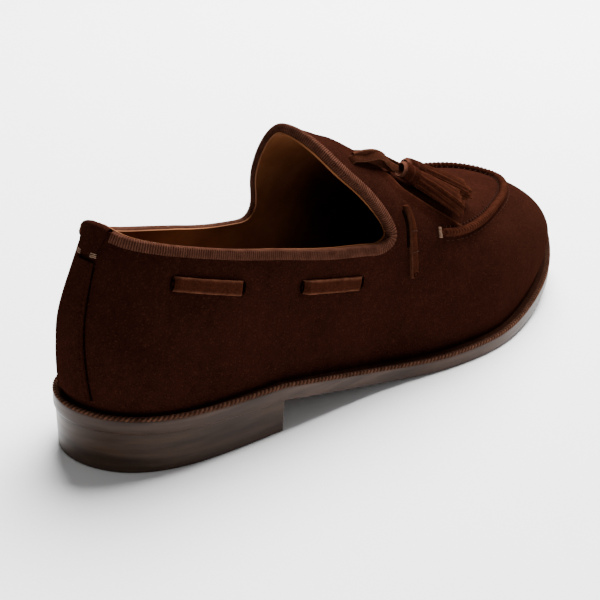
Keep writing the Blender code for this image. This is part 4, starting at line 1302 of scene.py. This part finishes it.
for inner, hand in ((False, "outer"), (True, "inner")):
    for run, rear, rear_up, fore, fore_up in LACE_RUNS:
        path = side_path([(rear + (fore - rear) * s, rear_up + (fore_up - rear_up) * s)
                          for s in np.linspace(0, 1, 4)], inner, 60)
        wear = 1 + 0.05 * np.array([noise.noise(Vector(point) * 500) for point in path])
        rings = laid_band(path, LACE_HALF * wear, LACE * 0.9, edge=0.75, columns=11, ends=rough_ends(60, 5))
        name = "lace_" + run + "_" + hand
        make_piece(name + "_strap", *loft(rings, False), lace_hide, [name], "brown_lace_leather",
                   edge_wear(rings, 11))
        for end, other, tag in ((path[0], path[1], "rear"), (path[-1], path[-2], "fore")):
            slot_patch(name + "_slot_shade_" + tag, end, end - other, 0.0007, 0.0026)
    path = side_path(RISER, inner, 90)
    shares = np.linspace(0, 1, 90)
    taper = np.interp(shares, (0, 0.15, 0.35, 0.80, 0.93, 1), (0.50, 0.8, 1.0, 1.05, 0.95, 0.55))
    ragged = 1 + 0.06 * np.array([noise.noise(Vector(point) * 700) for point in path])
    rings = laid_band(path, RISER_HALF * 0.85 * taper * ragged, LACE * 0.95, edge=0.7, columns=11,
                      ends=rough_ends(90, 4))
    make_piece("lace_riser_" + hand + "_strap", *loft(rings, False), lace_hide, ["lace_riser_" + hand],
               "brown_lace_leather", edge_wear(rings, 11, 0.5))
    # a near-black strip on the suede along the riser's rear edge is a painted shadow of the riser
    riser_shadow_points, sides = [], []
    for point, way in zip(path, tangents(path)):
        place, normal = skin.nearest(point)
        side = sideways(normal, way)
        side = side if side[0] < 0 else -side
        riser_shadow_points.append(place + side * RISER_HALF * 1.15)
        sides.append(side)
    riser_shadow_rings = laid_band(np.array(riser_shadow_points)[6:50], 0.0006, 0.0004, edge=0.6, columns=5, lift=0.0002)
    make_piece("lace_riser_" + hand + "_riser_shadow", *loft(riser_shadow_rings, False), painted_shade_finish)
    for tag, share in (("upper", 0.36), ("lower", 0.62)):
        i = int(share * 89)
        place, normal = skin.nearest(path[i])
        stations = [place + sides[i] * s * 0.0018 + normal * (GAP + LACE * 0.95) for s in (-1, 0, 1)]
        sewn_thread("lace_riser_" + hand + "_tie_" + tag, stations, [normal] * 3, pitch=0.0018,
                    length=0.0019, radius=0.00022, finish=brown_thread)
    # the riser's hole is a near-black cap of painted shade over the lace's end
    place, normal = skin.nearest(path[82])
    over = np.cross(normal, sides[82])
    hole_rings = []
    for size, rise in ((1.0, 0.0012), (1.0, GAP + LACE * 0.97), (0.8, GAP + LACE), (0.3, 0.0015)):
        hole_rings.append([place + size * HOLE_RADIUS * (sides[82] * cos(a) + over * sin(a)) + normal * rise
                           for a in circle(14)])
    make_piece("lace_riser_" + hand + "_hole_shade", *loft(hole_rings, False), painted_shade_finish)


# Knot and lace ends
# Behind the tassels the lace is tied in a flat knot on the instep, with short passes to both of
# its ends. Each end comes out of a quarter's front edge and runs into the cap of its tassel.
CORD = 0.0040
# half width and half thickness of the flat lace as shares of CORD
LACE_WIDE = 0.48
LACE_THIN = 0.20
TASSEL_LIFT = 0.0008
TASSEL_LENGTH = 0.034
TASSEL_HALF = 0.0074
KNOT_PLACE = (0.508, -0.095)
# half width and half height of the knot as shares of CORD
KNOT_SHARES = (0.85, 0.58)
LACE_ENDS = {
    # along, across, height over the upper as a share of CORD
    "outer": (
        (0.438, -0.206, 0.60),
        (0.452, -0.199, 0.80),
        (0.472, -0.186, 1.35),
        (0.490, -0.172, 1.50),
    ),
    "inner": (
        (0.505, 0.215, 0.70),
        (0.518, 0.130, 0.74),
        (0.527, 0.040, 0.85),
        (0.534, -0.040, 1.05),
    ),
}
TASSELS = (
    # name, cap along, cap across, end along, end across
    ("outer", 0.523, -0.190, 0.590, -0.318),
    ("inner", 0.557, -0.118, 0.650, -0.245),
)
TASSEL_PROFILE = (
    # share of the length, half width, half height, furrow
    (0.00, 0.50, 0.36, 0.00),
    (0.03, 0.66, 0.48, 0.00),
    (0.09, 0.70, 0.50, 0.00),
    (0.24, 0.70, 0.50, 0.00),
    (0.28, 0.62, 0.45, 0.04),
    (0.33, 0.68, 0.46, 0.10),
    (0.47, 0.78, 0.46, 0.20),
    (0.64, 0.86, 0.44, 0.24),
    (0.82, 0.92, 0.42, 0.26),
    (0.96, 0.96, 0.40, 0.28),
)


def lay_off(along, across, height):
    """Point a height above the upper, over a place given in shares."""
    x = along * LENGTH
    place, normal = skin.nearest((x, across * BALL_WIDTH, crown_height(x)))
    return place + normal * height


along, across = KNOT_PLACE
knot_width, knot_height = (share * CORD for share in KNOT_SHARES)
knot = lay_off(along, across, GAP + knot_height)
_, knot_up = skin.nearest(knot)
knot_way = np.cross((0, 1, 0), knot_up)
knot_way /= np.linalg.norm(knot_way)
knot_side = np.cross(knot_up, knot_way)
tassel_lace = suede_finish("pale_lace_leather", "#200f09", "#371c12", 0.85, wear_and_highlight_tint="#5a3627")


def flat_lace(path, wide, thick, twist, start=0.0, count=14):
    """Rings and wear of a flat lace that turns a little about its own path."""
    rings, wear = [], []
    for i, (point, way) in enumerate(zip(path, tangents(path))):
        _, normal = skin.nearest(point)
        side = sideways(normal, way)
        up = np.cross(way, side)
        turn = start + twist * i / (len(path) - 1)
        a, b = side * cos(turn) + up * sin(turn), up * cos(turn) - side * sin(turn)
        angles = circle(count)
        rings.append([point + a * wide * np.sign(cos(t)) * abs(cos(t)) ** 0.6
                      + b * thick * np.sign(sin(t)) * abs(sin(t)) ** 0.6 for t in angles])
        wear.append(abs(np.cos(angles)) ** 3)
    return rings, wear


WRAP_HALF = 0.0019
WRAP_THICK = 0.0007
WRAPS = (
    # shift along the knot, size, slant
    (-0.0023, 0.96, 0.5),
    (0.0021, 0.90, -0.4),
    (0.0000, 1.00, 1.1),
)
knot_vertices, knot_faces, knot_wear = [], [], []
for shift, radius, slant in WRAPS:
    loop = []
    for angle in np.linspace(0.0, 2 * pi, 44):
        loop.append(knot + knot_way * (shift + slant * 0.0012 * cos(angle))
                    + (knot_side * (knot_width - WRAP_THICK) * cos(angle)
                       + knot_up * (knot_height - WRAP_THICK) * sin(angle)) * radius)
    rings, wear = [], []
    for point, way in zip(loop, tangents(np.array(loop))):
        outward = (point - knot) - knot_way * np.dot(point - knot, knot_way)
        outward /= np.linalg.norm(outward)
        side = np.cross(outward, way)
        angles = circle(12)
        rings.append([point + side * WRAP_HALF * cos(t) + outward * WRAP_THICK * sin(t) for t in angles])
        wear.append(abs(np.cos(angles)) ** 3)
    add_loft(knot_vertices, knot_faces, rings)
    knot_wear += wear
# two passes on edge from the outer quarter to the knot, one on edge beside the outer tassel's cap,
# and a flat one from the knot towards the inner lace end
KNOT_PASSES = (
    # along, across, height as a share of CORD, then how far the lace is turned at its start
    (((0.440, -0.186, 0.20), (0.455, -0.177, 0.72), (0.474, -0.166, 1.12), (0.492, -0.152, 1.10),
      (0.506, -0.130, 0.85), (0.508, -0.100, 0.60)), 1.45),
    (((0.440, -0.184, 0.10), (0.474, -0.162, 0.42), (0.506, -0.138, 0.42), (0.511, -0.108, 0.45)), 1.45),
    (((0.486, -0.156, 0.50), (0.504, -0.150, 0.58), (0.520, -0.143, 0.58), (0.532, -0.136, 0.45)), 1.45),
    (((0.508, -0.090, 0.60), (0.518, -0.060, 0.62), (0.529, -0.030, 0.60), (0.534, -0.008, 0.50)), 0.1),
)
for places, turned in KNOT_PASSES:
    route = smooth_path([lay_off(x, y, z * CORD) for x, y, z in places], 40)
    rings, wear = flat_lace(route, CORD * 0.50, CORD * LACE_THIN, 0.2, start=turned, count=12)
    add_loft(knot_vertices, knot_faces, rings)
    knot_wear += wear
knot_piece = make_piece("lace_knot_wraps", knot_vertices, knot_faces, tassel_lace, ["lace_knot"],
                        "brown_lace_leather", knot_wear)


# Tassels
# Each tassel is a strip of suede cut into a fringe and rolled tight, with a narrow band wound
# round its head as a cap. The fringe fans out flat on the apron, its cut edges paler.
STRIP_THICK = 0.00045
STRIP_SHAPE = ((-1, -0.7), (0, -0.5), (1, -0.7), (1, 0.9), (0.65, 0.8), (0, 0.45), (-0.65, 0.8), (-1, 0.9))
FRINGE_TURNS = 7
tassel_suede = suede_finish("fringe_suede", "#160704", "#260f09", wear_and_highlight_tint="#452417")
cap_suede = suede_finish("tassel_cap_suede", "#180804", "#29110a", wear_and_highlight_tint="#74493a")
# near-black suede for painted shade inside the fringe
fringe_core_shade = suede_finish("painted_shade_fringe_core", "#0a0402", "#160904")


def tassel_frame(cap, way, share):
    """Centre, side, normal and half sizes of a tassel at a share of its length."""
    middle, normal = skin.nearest(cap + way * TASSEL_LENGTH * share)
    side = sideways(normal, way)
    shares, wides, highs, _ = np.array(TASSEL_PROFILE).T
    wide, high = (np.interp(share, shares, sizes) * TASSEL_HALF for sizes in (wides, highs))
    return middle + normal * (TASSEL_LIFT + high), side, normal, wide, high


def round_ring(frame_here, scale, count, jitter=None):
    centre, side, normal, wide, high = frame_here
    angles = circle(count)
    uneven = np.ones(count) if jitter is None else jitter
    return [centre + scale * k * (side * wide * cos(t) + normal * high * sin(t))
            for t, k in zip(angles, uneven)]


def dress_tassel(name, cap_along, cap_across, end_along, end_across, seed):
    cap = np.array(lay_off(cap_along, cap_across, 0))
    end = np.array(lay_off(end_along, end_across, 0))
    way = (end - cap) / np.linalg.norm(end - cap)
    random = np.random.default_rng(seed)
    count = 36
    ragged = 1 + random.uniform(-0.05, 0.02, count)
    rings, wear = [], []
    # the open rear of the wound band, then its outside with the band's two turns
    for share, scale, worn in ((0.050, 0.30, 0.0), (0.030, 0.62, 0.1), (0.006, 0.80, 0.8), (0.000, 0.92, 1.0),
                               (0.008, 0.99, 0.9), (0.030, 0.99, 0.25)):
        rings.append(round_ring(tassel_frame(cap, way, share + 0.012), scale, count, ragged))
        wear.append([worn] * count)
    for share in np.linspace(0.05, 0.27, 34):
        step = (share - 0.05) / 0.11 % 1
        scale = 0.985 - 0.030 * smooth_step(step, 0.86, 1.0) + 0.01 * step
        rings.append(round_ring(tassel_frame(cap, way, share), scale, count))
        wear.append([0.20 * float(smooth_step(step, 0.80, 0.97))] * count)
    rings.append(round_ring(tassel_frame(cap, way, 0.275), 0.80, count))
    wear.append([0.3] * count)
    cap_piece = make_piece("tassel_cap_" + name, *loft(rings, False), cap_suede, ["tassel_" + name],
                           "brown_suede", wear)

    # a near-black core inside the fringe is painted shade that shows between the strips
    core = [round_ring(tassel_frame(cap, way, share), 0.80, 24) for share in np.linspace(0.24, 0.93, 16)]
    core_piece = make_piece("tassel_shade_core_" + name, *loft(core, False), fringe_core_shade, slot="brown_suede")

    vertices, faces, wear = [], [], []
    for layer, inset in ((0, 0.90), (1, 1.0)):
        for i in range(FRINGE_TURNS + layer):
            angle = -0.16 * pi + 1.32 * pi * (i + 0.5 * (1 - layer)) / (FRINGE_TURNS - 1 + layer)
            reach = (0.97 if layer else 1.0) + random.uniform(-0.045, 0.02)
            sway, twist = random.uniform(-0.10, 0.10), random.uniform(-0.30, 0.30)
            lift = random.uniform(-0.00025, 0.00015)
            strip = []
            for share in np.linspace(0.255, reach, 15):
                fan = (share - 0.255) / 0.745
                centre, side, normal, wide, high = tassel_frame(cap, way, share)
                at = angle + sway * fan
                round_dir = normal * high * cos(at) - side * wide * sin(at)
                size = np.linalg.norm(round_dir)
                round_dir /= size
                outward = np.cross(way, round_dir)
                outward *= np.sign(np.dot(outward, side * cos(at) + normal * sin(at)))
                turn = twist * fan
                a = round_dir * cos(turn) + outward * sin(turn)
                b = outward * cos(turn) - round_dir * sin(turn)
                point = (centre + inset * (side * wide * cos(at) + normal * high * sin(at))
                         + outward * (lift * fan - 0.0004))
                half = (0.0013 + 0.00045 * fan) * (0.75 + 0.25 * min(1.0, size / 0.004))
                strip.append([point + a * half * u + b * STRIP_THICK * v for u, v in STRIP_SHAPE])
                tip = 0.5 * float(smooth_step(share, reach - 0.05, reach))
                wear.append([0.5, tip, 0.5, 1, 0.3 + tip, tip, 0.3 + tip, 1])
            add_loft(vertices, faces, strip)
    fringe = make_piece("tassel_fringe_" + name, vertices, faces, tassel_suede, slot="brown_suede", wear=wear)
    centre, side, normal, _, _ = tassel_frame(cap, way, 0)
    forward = np.cross(side, normal)
    return centre, forward * np.sign(np.dot(forward, way)), [cap_piece, core_piece, fringe]


# How much lower the flat lace lies than a round one would, in shares of CORD
LACE_SETTLED = {"outer": (0.42, 0.30, 0.28, 0.20), "inner": (0.66, 0.62, 0.45, 0.20)}
LACE_TWIST = {"outer": 0.5, "inner": -0.6}
# How far a lace end starts back under its quarter, and how deep
TUCK_BACK = 0.0012
TUCK_DOWN = 0.0026
for seed, (name, *places) in enumerate(TASSELS):
    head, forward, pieces = dress_tassel(name, *places, seed + 3)
    lower = LACE_SETTLED[name]
    route = [lay_off(along, across, (height - settled) * CORD)
             for (along, across, height), settled in zip(LACE_ENDS[name], lower)]
    out_of = np.array(route[0]) - np.array(route[1])
    out_of *= TUCK_BACK / np.linalg.norm(out_of)
    _, normal = skin.nearest(route[0])
    route = [route[0] + out_of - normal * TUCK_DOWN] + route
    route = smooth_path(route + [head - forward * CORD, head - forward * GAP], 60)
    rings, wear = flat_lace(route, CORD * LACE_WIDE, CORD * LACE_THIN, LACE_TWIST[name])
    lace_end = make_piece("lace_end_" + name + "_strap", *loft(rings, False), tassel_lace,
                          ["lace_end_" + name], "brown_lace_leather", wear)
    path = [tuple(Vector(point) + HOME) for point in route[::3]] + [tuple(Vector(route[-1]) + HOME)]
